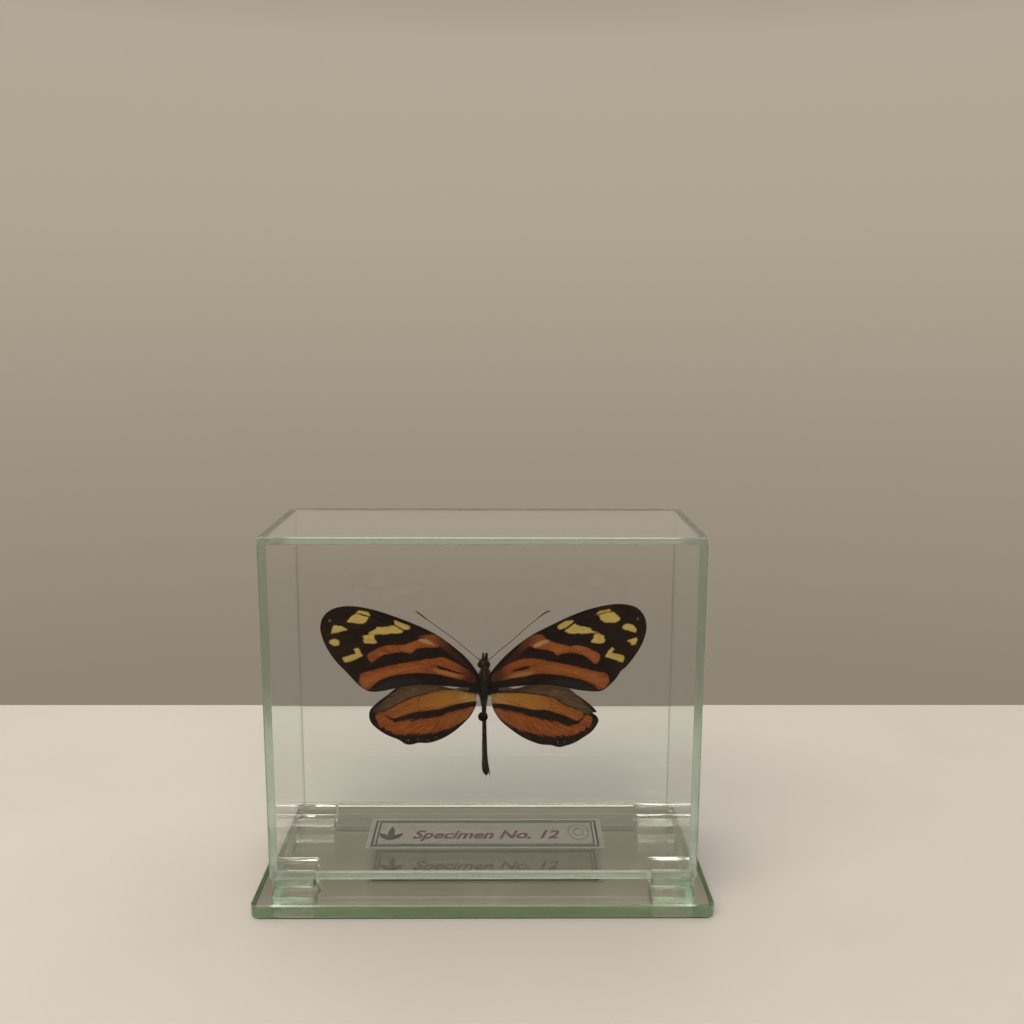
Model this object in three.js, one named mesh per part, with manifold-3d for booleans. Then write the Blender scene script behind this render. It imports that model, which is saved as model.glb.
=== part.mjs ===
// A spread butterfly in a glued glass case, which stands on four clear feet on a mirror base.
// Millimetres, +Z up, front towards -Y. The origin is the middle of the base's underside.

import * as THREE from "three";
import { mergeVertices } from "three/addons/utils/BufferGeometryUtils.js";
import Module from "manifold-3d";

const wasm = await Module();
wasm.setup();

// ---- Driving dimensions ----

const BASE = { width: 121, depth: 61, thickness: 4, cornerRadius: 2.2, arris: 0.4 };
const FOOT = { width: 12, depth: 10, height: 2.5, cornerRadius: 1.2, edge: 0.2, setBack: 0.5 };
const CASE = { width: 114, depth: 44, height: 93, glass: 2 };
const LABEL = { width: 67, depth: 17.6, thickness: 0.2, x: 0.2, y: 0.7 };

const WING_SHEET = 0.3;
const WING_CELL = 2.6;
const OUTLINE_STEPS = 66;
const FOREWING_DEPTH = { root: -0.6, bulge: -0.9 };
const HINDWING_DEPTH = { root: 0.15, bulge: -0.4 };

const BODY_SIDES = 16;
const EYE = { radius: 0.95, out: 0.95, y: 0.1, z: 59.2 };
const ANTENNA = { shaft: 0.15, club: 0.3, clubLength: 0.16 };
const LEG_RADIUS = 0.2;

const PIN = { x: -0.42, z: 45.1, headRadius: 1.4, headY: -2.6, shaftRadius: 0.2, boreRadius: 0.28 };
const DAB = { radius: 2.3, height: 2.1, socketDepth: 1.5 };

const caseBottom = BASE.thickness + FOOT.height;
const caseTop = caseBottom + CASE.height;
const floorTop = caseBottom + CASE.glass;
const wallHeight = CASE.height - 2 * CASE.glass;
const wallMiddle = caseBottom + CASE.height / 2;
const backPaneFace = CASE.depth / 2 - CASE.glass;

// ---- Materials ----

const clearGlass = { color: 0xcfdccb, roughness: 0.03, metalness: 0, transparent: true, opacity: 0.3 };
const finishes = {
  base: { color: 0x8f9a86, roughness: 0.04, metalness: 0.8 },
  glass: clearGlass,
  foot: { color: 0xe3e8e2, roughness: 0.12, metalness: 0, transparent: true, opacity: 0.45 },
  label: { color: 0xd6d8cf, roughness: 0.35, metalness: 0 },
  body: { color: 0x241e1a, roughness: 0.85, metalness: 0 },
  forewing: { color: 0x8a4522, roughness: 0.7, metalness: 0 },
  hindwing: { color: 0xa05c28, roughness: 0.7, metalness: 0 },
  antenna: { color: 0x3a2019, roughness: 0.6, metalness: 0 },
  leg: { color: 0x2b211b, roughness: 0.7, metalness: 0 },
  pinHead: { color: 0x0c0c0d, roughness: 0.35, metalness: 0 },
  pinShaft: { color: 0xb6b8ba, roughness: 0.25, metalness: 1 },
  dab: { color: 0xeceee8, roughness: 0.1, metalness: 0, transparent: true, opacity: 0.5 },
};

const specimenCase = new THREE.Group();

function addPiece(name, geometry, finish) {
  const piece = new THREE.Mesh(geometry, new THREE.MeshStandardMaterial(finishes[finish]));
  piece.name = name;
  specimenCase.add(piece);
  return piece;
}

// ---- Solids: joining, cutting and bending ----

function toSolid(geometry) {
  const bare = geometry.clone();
  bare.deleteAttribute("normal");
  bare.deleteAttribute("uv");
  const merged = mergeVertices(bare);
  return new wasm.Manifold(
    new wasm.Mesh({
      numProp: 3,
      vertProperties: new Float32Array(merged.attributes.position.array),
      triVerts: new Uint32Array(merged.index.array),
    }),
  );
}

function toGeometry(solid) {
  const mesh = solid.getMesh();
  const geometry = new THREE.BufferGeometry();
  geometry.setAttribute("position", new THREE.BufferAttribute(mesh.vertProperties, 3));
  geometry.setIndex(new THREE.BufferAttribute(mesh.triVerts, 1));
  geometry.computeVertexNormals();
  return geometry;
}

// Moves every vertex of a geometry to where place(vertex) puts it.
function bend(geometry, place) {
  const vertex = new THREE.Vector3();
  const position = geometry.attributes.position;
  for (let i = 0; i < position.count; i++) {
    place(vertex.fromBufferAttribute(position, i));
    position.setXYZ(i, vertex.x, vertex.y, vertex.z);
  }
  geometry.computeVertexNormals();
  return geometry;
}

// A round rod along a curve, with radiusAt(0 to 1); across is a direction the curve never follows.
function rodAlong(points, radiusAt, across, sides, steps) {
  const curve = new THREE.CatmullRomCurve3(points.map((p) => new THREE.Vector3(...p)));
  const reference = new THREE.Vector3(...across);
  return bend(new THREE.CylinderGeometry(1, 1, 1, sides, steps), (vertex) => {
    const along = vertex.y + 0.5;
    const radius = radiusAt(along);
    const tangent = curve.getTangentAt(along);
    const side = tangent.clone().cross(reference).normalize();
    const front = side.clone().cross(tangent);
    const offset = side.multiplyScalar(vertex.x * radius).addScaledVector(front, vertex.z * radius);
    vertex.copy(curve.getPointAt(along)).add(offset);
  });
}

// ---- Mirror base and feet ----

function roundedRectangle(width, depth, radius) {
  const [x, y] = [width / 2, depth / 2];
  const shape = new THREE.Shape();
  shape.moveTo(x, -y + radius);
  shape.absarc(x - radius, y - radius, radius, 0, Math.PI / 2);
  shape.absarc(-x + radius, y - radius, radius, Math.PI / 2, Math.PI);
  shape.absarc(-x + radius, -y + radius, radius, Math.PI, 1.5 * Math.PI);
  shape.absarc(x - radius, -y + radius, radius, 1.5 * Math.PI, 2 * Math.PI);
  return shape;
}

// A flat plate with rounded corners and a small bevel round both faces, standing on z = 0.
function plate(width, depth, thickness, cornerRadius, bevel) {
  const geometry = new THREE.ExtrudeGeometry(roundedRectangle(width, depth, cornerRadius), {
    depth: thickness - 2 * bevel,
    bevelThickness: bevel,
    bevelSize: bevel,
    bevelOffset: -bevel,
    bevelSegments: 1,
    curveSegments: 5,
  });
  return geometry.translate(0, 0, bevel);
}

const baseShape = plate(BASE.width, BASE.depth, BASE.thickness, BASE.cornerRadius, BASE.arris);
addPiece("mirror_base", baseShape, "base");

const footX = CASE.width / 2 - FOOT.width / 2;
const footY = CASE.depth / 2 - FOOT.setBack - FOOT.depth / 2;
for (const [sideName, side] of [["left", -1], ["right", 1]]) {
  for (const [rowName, row] of [["front", -1], ["back", 1]]) {
    const footShape = plate(FOOT.width, FOOT.depth, FOOT.height, FOOT.cornerRadius, FOOT.edge);
    const foot = addPiece(`foot_${rowName}_${sideName}`, footShape, "foot");
    foot.position.set(side * footX, row * footY, BASE.thickness);
  }
}

// ---- Glass case: a floor and a lid, with four walls glued between them ----

function addPane(name, width, depth, height, x, y, z) {
  addPiece(name, new THREE.BoxGeometry(width, depth, height), "glass").position.set(x, y, z);
}

addPane("pane_bottom", CASE.width, CASE.depth, CASE.glass, 0, 0, caseBottom + CASE.glass / 2);
addPane("pane_top", CASE.width, CASE.depth, CASE.glass, 0, 0, caseTop - CASE.glass / 2);

const longWallY = (CASE.depth - CASE.glass) / 2;
const endWallX = (CASE.width - CASE.glass) / 2;
const endWallDepth = CASE.depth - 2 * CASE.glass;
addPane("pane_front", CASE.width, CASE.glass, wallHeight, 0, -longWallY, wallMiddle);
addPane("pane_back", CASE.width, CASE.glass, wallHeight, 0, longWallY, wallMiddle);
addPane("pane_left", CASE.glass, endWallDepth, wallHeight, -endWallX, 0, wallMiddle);
addPane("pane_right", CASE.glass, endWallDepth, wallHeight, endWallX, 0, wallMiddle);

const labelShape = new THREE.BoxGeometry(LABEL.width, LABEL.depth, LABEL.thickness);
addPiece("label", labelShape, "label").position.set(LABEL.x, LABEL.y, floorTop + LABEL.thickness / 2);

// ---- Butterfly body: head, thorax and abdomen grown in one ----

// [half width, height, how far right its middle lies], from the abdomen's tip to the crown of the head.
const BODY_PROFILE = [
  [0, 26.1, 0.4], [0.25, 26.3, 0.4], [0.5, 26.7, 0.38], [0.78, 27.2, 0.36], [1, 28.1, 0.3],
  [1.03, 29, 0.24], [0.98, 30, 0.2], [0.77, 32, 0.12], [0.73, 34.4, 0.03], [0.62, 37, -0.02],
  [0.56, 40.2, -0.07], [0.55, 42.5, -0.12], [0.62, 44.4, -0.17], [0.66, 46, -0.2],
  [0.68, 47.3, -0.21], [0.88, 48.6, -0.24], [1.1, 49.8, -0.26], [1.45, 51.6, -0.25],
  [1.5, 53, -0.22], [1.5, 55.5, -0.12], [1.45, 56.6, 0], [1.25, 57.3, 0.1], [1.05, 57.9, 0.05],
  [1.3, 59.1, -0.25], [1.2, 60, -0.2], [0.85, 60.7, -0.15], [0, 61, -0.1],
];
const THORAX_MIDDLE = -0.2;

// Each palp's route is [x, y, z], with its radius.
const PALPS = [
  { route: [[-0.42, 0.1, 60.1], [-0.4, -0.5, 61.5], [-0.38, -0.7, 63.1]], radius: 0.3 },
  { route: [[0.2, 0.1, 60.1], [0.45, -0.5, 61.5], [0.6, -0.7, 63]], radius: 0.42 },
];

function bodyMiddle(z) {
  const above = Math.max(1, BODY_PROFILE.findIndex(([, height]) => height >= z));
  const [[, z0, x0], [, z1, x1]] = [BODY_PROFILE[above - 1], BODY_PROFILE[above]];
  return THREE.MathUtils.mapLinear(z, z0, z1, x0, x1);
}

function bodyTrunk() {
  const profile = BODY_PROFILE.map(([halfWidth, z]) => new THREE.Vector2(halfWidth, z));
  const trunk = new THREE.LatheGeometry(profile, BODY_SIDES).rotateX(Math.PI / 2);
  return bend(trunk, (vertex) => {
    const deepening = Math.exp(-(((vertex.z - 54) / 4) ** 2));
    vertex.y = vertex.y * (1.02 + 0.3 * deepening) + 0.5 + 0.1 * deepening;
    vertex.x += bodyMiddle(vertex.z - 1e-6);
  });
}

function eye(side) {
  const ball = new THREE.SphereGeometry(EYE.radius, 12, 8);
  return ball.translate(THORAX_MIDDLE + side * EYE.out, EYE.y, EYE.z);
}

function palp({ route, radius }) {
  return rodAlong(route, (along) => radius * (1 - 0.2 * along), [1, 0, 0], 7, 4);
}

const pinBore = new THREE.CylinderGeometry(PIN.boreRadius, PIN.boreRadius, 8, 12);
pinBore.translate(PIN.x, 0, PIN.z);

let body = toSolid(bodyTrunk());
for (const side of [-1, 1]) {
  body = body.add(toSolid(eye(side)));
}
for (const shape of PALPS) {
  body = body.add(toSolid(palp(shape)));
}
addPiece("body", toGeometry(body.subtract(toSolid(pinBore))), "body");

// ---- Wings: thin sheets bowed a little towards the front ----

// Each outline is [x, z] as seen from the front, round from the wing's root.
const FOREWING_LEFT = [
  [-1.75, 55.9], [-4.5, 60.8], [-9.2, 65.2], [-13.7, 68.5], [-19.8, 71.5], [-26.2, 74],
  [-31, 75.5], [-35.7, 76.3], [-39.1, 76.2], [-42, 75.3], [-44.2, 73.4], [-45.2, 70.5],
  [-44.7, 67.3], [-43.3, 63.9], [-41.1, 60.6], [-37.9, 57.1], [-35, 53.9], [-32.6, 52.2],
  [-31.1, 51.9], [-28.3, 52.1], [-24.1, 53.1], [-20.3, 53.7], [-17.2, 53.9], [-10.8, 53.4],
  [-4.5, 52.9], [-1.75, 53.2],
];
const FOREWING_RIGHT = [
  [1.35, 53.2], [1.35, 55.9], [4, 60.1], [7.8, 64], [12.7, 67.9], [17.8, 70.7], [23.6, 73.6],
  [28.2, 75.4], [33, 76.6], [36.2, 77], [39.3, 76.8], [42.1, 75.8], [44, 73.5],
  [44.7, 70.8], [44.4, 68], [43.2, 64.8], [41.5, 62], [39.3, 59.1], [37.8, 57.8],
  [37, 56.4], [35.2, 54.2], [33, 52.4], [31.9, 52], [28.7, 52.1], [25.5, 52.5],
  [22.3, 53.2], [17.6, 53.8], [12.8, 53.7], [9.6, 53.4], [4.9, 52.9],
];
const HINDWING_LEFT = [
  [-1.8, 52.4], [-4.5, 53], [-6.4, 52.7], [-9, 52.3], [-12.5, 53.3], [-17, 54.5], [-21.5, 54.2],
  [-24.6, 52.6], [-26.7, 50.8], [-30, 48.2], [-32.1, 45.9], [-32.4, 44.1], [-31.9, 42.3],
  [-30.3, 40.6], [-27.7, 38.8], [-24.2, 37.3], [-22.2, 36], [-20.6, 35.9], [-18.6, 36.4],
  [-15.8, 36.4], [-12.7, 37.3], [-9.6, 39], [-6.5, 41.5], [-3.8, 44.5], [-2.3, 47.9],
  [-2.3, 50.2], [-1.8, 51.5],
];
const HINDWING_RIGHT = [
  [1.75, 50.3], [1.4, 51.5], [1.4, 52.5], [4.4, 53], [6.4, 52.7], [8.6, 52.3], [12, 53.3],
  [16.5, 54.5], [20.8, 54], [23.6, 52.4], [25.5, 50.8], [28.9, 48.2], [31.3, 45.8],
  [31.4, 45.4], [30.2, 45.2], [31.3, 44.4], [32, 43.1], [31.6, 41.7], [30.2, 39.7],
  [27.9, 38], [25.3, 36.4], [23.1, 35.6], [20.9, 35.1], [18.7, 35.7], [15.5, 36],
  [11.4, 37.6], [7.5, 40.2], [4, 43.4], [2.2, 46.9],
];

function wing(outline, sheet) {
  const corners = outline.map(([x, z]) => new THREE.Vector3(x, z, 0));
  const margin = new THREE.CatmullRomCurve3(corners, true, "centripetal");
  const steps = Math.max(OUTLINE_STEPS, 2 * outline.length);
  const rim = margin.getPoints(steps).slice(0, -1);
  const reach = new THREE.Box2().setFromPoints(rim);
  const size = reach.getSize(new THREE.Vector2());
  const middle = reach.getCenter(new THREE.Vector2());
  const span = size.x;
  const rootX = Math.min(Math.abs(reach.min.x), Math.abs(reach.max.x));

  const cutter = new THREE.ExtrudeGeometry(new THREE.Shape(rim), { depth: 10, bevelEnabled: false });
  cutter.translate(0, 0, -5).rotateX(Math.PI / 2);

  const [across, up] = [size.x + 1, size.y + 1];
  const cells = [Math.round(across / WING_CELL), Math.round(up / WING_CELL)];
  const blank = new THREE.BoxGeometry(across, WING_SHEET, up, cells[0], 1, cells[1]);
  blank.translate(middle.x, 0, middle.y);
  bend(blank, (vertex) => {
    const out = THREE.MathUtils.clamp((Math.abs(vertex.x) - rootX) / span, 0, 1);
    vertex.y += sheet.root + sheet.bulge * Math.sin(Math.PI * 0.85 * out);
  });
  return toGeometry(toSolid(blank).intersect(toSolid(cutter)));
}

addPiece("forewing_left", wing(FOREWING_LEFT, FOREWING_DEPTH), "forewing");
addPiece("forewing_right", wing(FOREWING_RIGHT, FOREWING_DEPTH), "forewing");
addPiece("hindwing_left", wing(HINDWING_LEFT, HINDWING_DEPTH), "hindwing");
addPiece("hindwing_right", wing(HINDWING_RIGHT, HINDWING_DEPTH), "hindwing");

// ---- Antennae: thin stalks that end in slim clubs ----

const ANTENNA_LEFT = [
  [-1.2, -0.75, 60.7], [-4.9, -1.2, 64], [-8.7, -1.4, 67.3], [-13.6, -1.5, 71], [-19, -1.4, 75.1],
];
const ANTENNA_RIGHT = [
  [0.9, -0.75, 60.6], [3.5, -1.2, 63.1], [6.8, -1.3, 65.9], [12.3, -1.5, 71], [16.7, -1.5, 74.6],
  [17.5, -1.5, 75], [18.2, -1.4, 74.8],
];

function antenna(route) {
  const clubStart = 1 - ANTENNA.clubLength;
  const radiusAt = (along) => {
    const intoClub = THREE.MathUtils.smoothstep(along, clubStart - 0.08, clubStart + 0.08);
    return THREE.MathUtils.lerp(ANTENNA.shaft, ANTENNA.club, intoClub);
  };
  return rodAlong(route, radiusAt, [0, 1, 0], 6, 18);
}

addPiece("antenna_left", antenna(ANTENNA_LEFT), "antenna");
addPiece("antenna_right", antenna(ANTENNA_RIGHT), "antenna");

// ---- Legs: two pairs folded flat against the underside of the thorax ----

// [distance out from the middle line, y, z], from the hip over the knee to the claws.
const MIDDLE_LEG = [[0.55, 2.95, 54.6], [1.15, 3.2, 52.6], [1.05, 3.75, 53.6], [0.8, 3.6, 56.6]];
const HIND_LEG = [[0.5, 2.75, 52.4], [0.95, 2.95, 50.3], [0.55, 3.6, 49.2], [0.45, 4.1, 52.2]];

for (const [sideName, side] of [["left", -1], ["right", 1]]) {
  for (const [pairName, joints] of [["middle", MIDDLE_LEG], ["hind", HIND_LEG]]) {
    const route = joints.map(([out, y, z]) => [THORAX_MIDDLE + side * out, y, z]);
    const leg = rodAlong(route, (along) => LEG_RADIUS * (1 - 0.4 * along), [1, 0, 0], 6, 10);
    addPiece(`leg_${pairName}_${sideName}`, leg, "leg");
  }
}

// ---- Pin through the abdomen, held by a clear dab on the back pane ----

function turned(profile, sides) {
  const points = profile.map(([radius, y]) => new THREE.Vector2(radius, y));
  return new THREE.LatheGeometry(points, sides).translate(PIN.x, 0, PIN.z);
}

// The ball is cut flat where the shaft leaves it.
function pinHeadProfile() {
  const profile = [];
  const flatAngle = 0.9 * Math.PI;
  for (let i = 0; i <= 10; i++) {
    const angle = (flatAngle * i) / 10;
    const radius = PIN.headRadius * Math.sin(angle);
    profile.push([radius, PIN.headY - PIN.headRadius * Math.cos(angle)]);
  }
  profile.push([0, PIN.headY - PIN.headRadius * Math.cos(flatAngle)]);
  return profile;
}

const headProfile = pinHeadProfile();
const shaftStart = headProfile[headProfile.length - 1][1];
const shaftEnd = backPaneFace - DAB.height + DAB.socketDepth - 0.1;
addPiece("pin_head", turned(headProfile, 16), "pinHead");
addPiece(
  "pin_shaft",
  turned([[0, shaftStart], [PIN.shaftRadius, shaftStart], [PIN.shaftRadius, shaftEnd], [0, shaftEnd]], 10),
  "pinShaft",
);

const dabFront = backPaneFace - DAB.height;
const dabProfile = [
  [0, dabFront + DAB.socketDepth],
  [PIN.boreRadius, dabFront + DAB.socketDepth],
  [PIN.boreRadius, dabFront],
  [0.45 * DAB.radius, dabFront + 0.25],
  [0.75 * DAB.radius, dabFront + 0.8],
  [0.95 * DAB.radius, dabFront + 1.6],
  [DAB.radius, backPaneFace],
  [0, backPaneFace],
];
addPiece("glue_dab", turned(dabProfile, 18), "dab");

export default specimenCase;
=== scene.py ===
"""A spread butterfly in a glued glass case, standing on clear feet on a mirror base.

Sizes are in millimetres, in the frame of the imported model, and become metres where a mesh is made.
"""

import math

import bpy
import numpy as np
from mathutils import Matrix, Vector
from mathutils.geometry import delaunay_2d_cdt


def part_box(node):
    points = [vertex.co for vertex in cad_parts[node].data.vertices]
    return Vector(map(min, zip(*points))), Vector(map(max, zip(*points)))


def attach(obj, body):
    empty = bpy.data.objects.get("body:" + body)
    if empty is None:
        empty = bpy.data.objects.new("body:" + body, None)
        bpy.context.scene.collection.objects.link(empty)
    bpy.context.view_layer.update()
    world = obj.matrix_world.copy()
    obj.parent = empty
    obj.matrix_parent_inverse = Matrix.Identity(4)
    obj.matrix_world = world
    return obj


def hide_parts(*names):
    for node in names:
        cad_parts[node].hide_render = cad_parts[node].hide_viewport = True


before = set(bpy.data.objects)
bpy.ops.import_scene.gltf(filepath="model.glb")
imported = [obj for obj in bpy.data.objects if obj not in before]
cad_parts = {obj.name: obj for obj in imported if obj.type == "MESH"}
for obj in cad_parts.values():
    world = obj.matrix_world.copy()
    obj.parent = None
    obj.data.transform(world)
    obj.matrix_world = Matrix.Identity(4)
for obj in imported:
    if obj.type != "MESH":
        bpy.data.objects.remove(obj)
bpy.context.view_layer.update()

MM = 0.001
TURN = 2 * math.pi
draw = np.random.default_rng(11)

# ---- Nodes and materials ----

SMOOTH = {"interpolation_type": "SMOOTHSTEP"}
# A value that follows a noise pattern changes over this middle part of the pattern's range.
NOISE_LOW, NOISE_HIGH = 0.3, 0.7


def srgb(code):
    """A hex colour such as "d2bb62" as the linear colour that a shader socket takes."""
    channels = [int(code[i : i + 2], 16) / 255 for i in (0, 2, 4)]
    linear = [c / 12.92 if c <= 0.04045 else ((c + 0.055) / 1.055) ** 2.4 for c in channels]
    return (*linear, 1.0)


def add_node(tree, kind, inputs=(), output=0, **settings):
    """Adds a ShaderNode of a kind with its settings, and gives the output asked for.

    inputs are values and sockets for its inputs: a tuple for the first ones, or a dictionary.
    """
    made = tree.nodes.new("ShaderNode" + kind)
    for name, value in settings.items():
        setattr(made, name, value)
    for socket, value in inputs.items() if isinstance(inputs, dict) else enumerate(inputs):
        if isinstance(value, bpy.types.NodeSocket):
            tree.links.new(value, made.inputs[socket])
        else:
            made.inputs[socket].default_value = value
    return made.outputs[output] if made.outputs else None


def new_material(name):
    """An empty node material and its tree."""
    material = bpy.data.materials.new(name)
    material.use_nodes = True
    material.node_tree.nodes.clear()
    return material, material.node_tree


def finish_material(tree, shader, absorbed=None):
    """Ends a material with its shader's inputs, and with what its solid absorbs."""
    ends = {"Surface": add_node(tree, "BsdfPrincipled", shader)}
    if absorbed:
        ends["Volume"] = add_node(tree, "VolumeAbsorption", absorbed)
    add_node(tree, "OutputMaterial", ends)


def clouds(tree, size, detail, stretch=None):
    """A noise pattern with features of size mm, drawn out along the axes where stretch is small."""
    place = add_node(tree, "TexCoord", output="Object")
    if stretch:
        place = add_node(tree, "Mapping", {"Vector": place, "Scale": stretch})
    return add_node(tree, "TexNoise", {"Vector": place, "Scale": 1 / (size * MM), "Detail": detail})


def painted(tree, base, *coats):
    """The colour base under coats of (share that covers, colour). Colours are hex codes or sockets."""
    colour = srgb(base) if isinstance(base, str) else base
    for cover, coat in coats:
        coat = srgb(coat) if isinstance(coat, str) else coat
        colour = add_node(tree, "Mix", {0: cover, 6: colour, 7: coat}, 2, data_type="RGBA")
    return colour


def mottled(name, tones, size, detail, roughness, stretch=None, contrast=None, relief=None, shader=None):
    """A material whose two tones change over size mm.

    roughness is one value, or two that change with the tones. contrast is the range of the pattern
    over which the tones change, relief the (height in mm, strength) of its skin, and shader holds
    further inputs of the shader.
    """
    material, tree = new_material(name)
    noise = clouds(tree, size, detail, stretch)
    cover = add_node(tree, "MapRange", (noise, *contrast), **SMOOTH) if contrast else noise
    if isinstance(roughness, tuple):
        roughness = add_node(tree, "MapRange", (noise, NOISE_LOW, NOISE_HIGH, *roughness), **SMOOTH)
    inputs = {"Base Color": painted(tree, tones[0], (cover, tones[1])), "Roughness": roughness}
    if relief:
        height, strength = relief
        inputs["Normal"] = add_node(
            tree, "Bump", {"Height": noise, "Distance": height * MM, "Strength": strength}
        )
    finish_material(tree, inputs | (shader or {}))
    return material


def clear_material(name, ior, roughness, tint, density, wave=None, ground=None):
    """See-through solid. tint and density, per metre, are what it absorbs by.

    wave is (size, height) in mm of a slow unevenness of its skin. ground is the roughness of the
    faces that carry the ground attribute.
    """
    material, tree = new_material(name)
    if ground:
        rims = add_node(tree, "Attribute", output="Fac", attribute_name="ground")
        roughness = add_node(tree, "MapRange", (rims, 0.4, 0.6, roughness, ground), **SMOOTH)
    shader = {
        "Base Color": (1, 1, 1, 1),
        "Roughness": roughness,
        "IOR": ior,
        "Transmission Weight": 1.0,
    }
    if wave:
        size, height = wave
        shader["Normal"] = add_node(
            tree, "Bump", {"Height": clouds(tree, size, 2), "Distance": height * MM, "Strength": 1.0}
        )
    finish_material(tree, shader, {"Color": (*tint, 1), "Density": density})
    return material


# Float glass: a trace of iron takes red and some blue, so it is clear across 2 mm and green along an
# edge. Its edges are ground and polished by hand, so they blur what shows through them.
float_glass = clear_material("float_glass", 1.52, 0.0, (0.25, 0.74, 0.42), 9.0, ground=0.22)
mirror_glass = clear_material("mirror_float_glass", 1.52, 0.0, (0.2, 0.66, 0.28), 17.0, ground=0.22)
# Cast acrylic pads: clear, with sides that blur a little where they were sawn and then glued.
acrylic = clear_material("cast_acrylic", 1.49, 0.02, (0.78, 0.86, 0.76), 6.0, ground=0.24)
# Cured clear glue: a soft uneven gloss.
clear_glue = clear_material("cured_clear_glue", 1.47, 0.12, (0.75, 0.8, 0.7), 14.0, wave=(1.3, 0.15))
# Silver on the back of mirror glass: a true mirror with a faint warm loss.
silver = mottled("mirror_silver", ("e6e3da", "ece9e1"), 30, 3, 0.02, shader={"Metallic": 1.0})
# The grey lacquer that guards the silver: matt, slightly streaked by the curtain coater.
lacquer = mottled("mirror_backing_lacquer", ("3a3d3c", "4b4e4d"), 1.6, 4, 0.62, stretch=(0.1, 1, 1))
# Polyester label film: clear, with a milky veil.
film = mottled(
    "polyester_label_film",
    ("eff1ea", "f7f8f2"),
    6,
    3,
    0.05,
    shader={"IOR": 1.45, "Transmission Weight": 0.8},
)
# Printing ink in clear film: flat colour, thinner here and there, with a slight gloss.
INK = (0.5, 2, 0.45)
red_ink = mottled("maroon_ink", ("480a0d", "641216"), *INK)
blue_ink = mottled("slate_blue_ink", ("0a161d", "182a31"), *INK)
grey_ink = mottled("grey_ink", ("151814", "282d28"), *INK)


def dry_insect_skin(name, tones, grain, roughness):
    """Dry insect skin with hair and scales: dusty, with a dull shine."""
    shader = {"Specular IOR Level": 0.3}
    return mottled(name, tones, grain, 4, roughness, None, (0.35, 0.7), (0.05, 0.7), shader)


chitin = dry_insect_skin("dark_chitin", ("21180f", "5e4e36"), 0.35, 0.6)
hair_skin = dry_insect_skin("brown_black_hair", ("14110b", "454132"), 0.6, 0.7)
eye_skin = dry_insect_skin("compound_eye", ("120c0a", "2a1c15"), 0.12, 0.5)
antenna_skin = dry_insect_skin("red_brown_antenna", ("3a1710", "7a3a28"), 0.4, 0.5)
leg_skin = dry_insect_skin("brown_leg", ("1c1410", "4a3727"), 0.4, 0.55)
# Drawn spring steel: bright, with fine lines along the wire.
steel = mottled(
    "drawn_steel",
    ("a9abad", "c9cbcc"),
    0.05,
    2,
    (0.18, 0.32),
    stretch=(1, 0.03, 1),
    shader={"Metallic": 1.0},
)
# A bead of black wax paint: nearly no shine, over an uneven skin.
bead_paint = mottled(
    "black_wax_paint",
    ("040403", "0c0b08"),
    0.8,
    3,
    0.6,
    relief=(0.08, 0.6),
    shader={"Specular IOR Level": 0.15},
)
# Matt emulsion paint on the table: pale, nearly even.
floor_paint = mottled("pale_floor_paint", ("b7b3ab", "c0bcb4"), 60, 3, 0.8)

# ---- Shapes ----


def add_object(name, data):
    """A new object in the scene."""
    made = bpy.data.objects.new(name, data)
    bpy.context.scene.collection.objects.link(made)
    return made


def make_piece(name, shape, material, node=None, sharp_degrees=None, smooth=True):
    """A mesh piece from (vertices in mm, faces) that rides on the one body, in place of a node."""
    vertices, faces = shape
    mesh = bpy.data.meshes.new(name)
    mesh.from_pydata([tuple(v) for v in np.asarray(vertices) * MM], [], faces)
    mesh.update()
    mesh.materials.append(material)
    mesh.polygons.foreach_set("use_smooth", [smooth] * len(mesh.polygons))
    if sharp_degrees:
        mesh.set_sharp_from_angle(angle=math.radians(sharp_degrees))
    piece = add_object(name, mesh)
    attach(piece, "root")
    if node:
        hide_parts(node)
    return piece


def box_mm(node):
    """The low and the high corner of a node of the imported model."""
    low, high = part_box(node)
    return np.array(low) / MM, np.array(high) / MM


def joined(parts):
    """Several (vertices, faces) as one."""
    vertices, faces, start = [], [], 0
    for part_vertices, part_faces in parts:
        vertices.append(np.asarray(part_vertices, float))
        faces += [tuple(start + i for i in face) for face in part_faces]
        start += len(part_vertices)
    return np.concatenate(vertices), faces


def closed_rings(rings, sides):
    """The faces between rings of sides points each, with a cap at both ends."""
    last = (rings - 1) * sides
    faces = [tuple(reversed(range(sides))), tuple(last + k for k in range(sides))]
    for ring in range(rings - 1):
        for k in range(sides):
            a, b = ring * sides + k, ring * sides + (k + 1) % sides
            faces.append((a, b, b + sides, a + sides))
    return faces


def turns(count):
    """count even angles round a circle."""
    return np.arange(count) * TURN / count


def unit(vector):
    """The direction of a vector, at a length of 1."""
    return vector / np.linalg.norm(vector)


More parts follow.
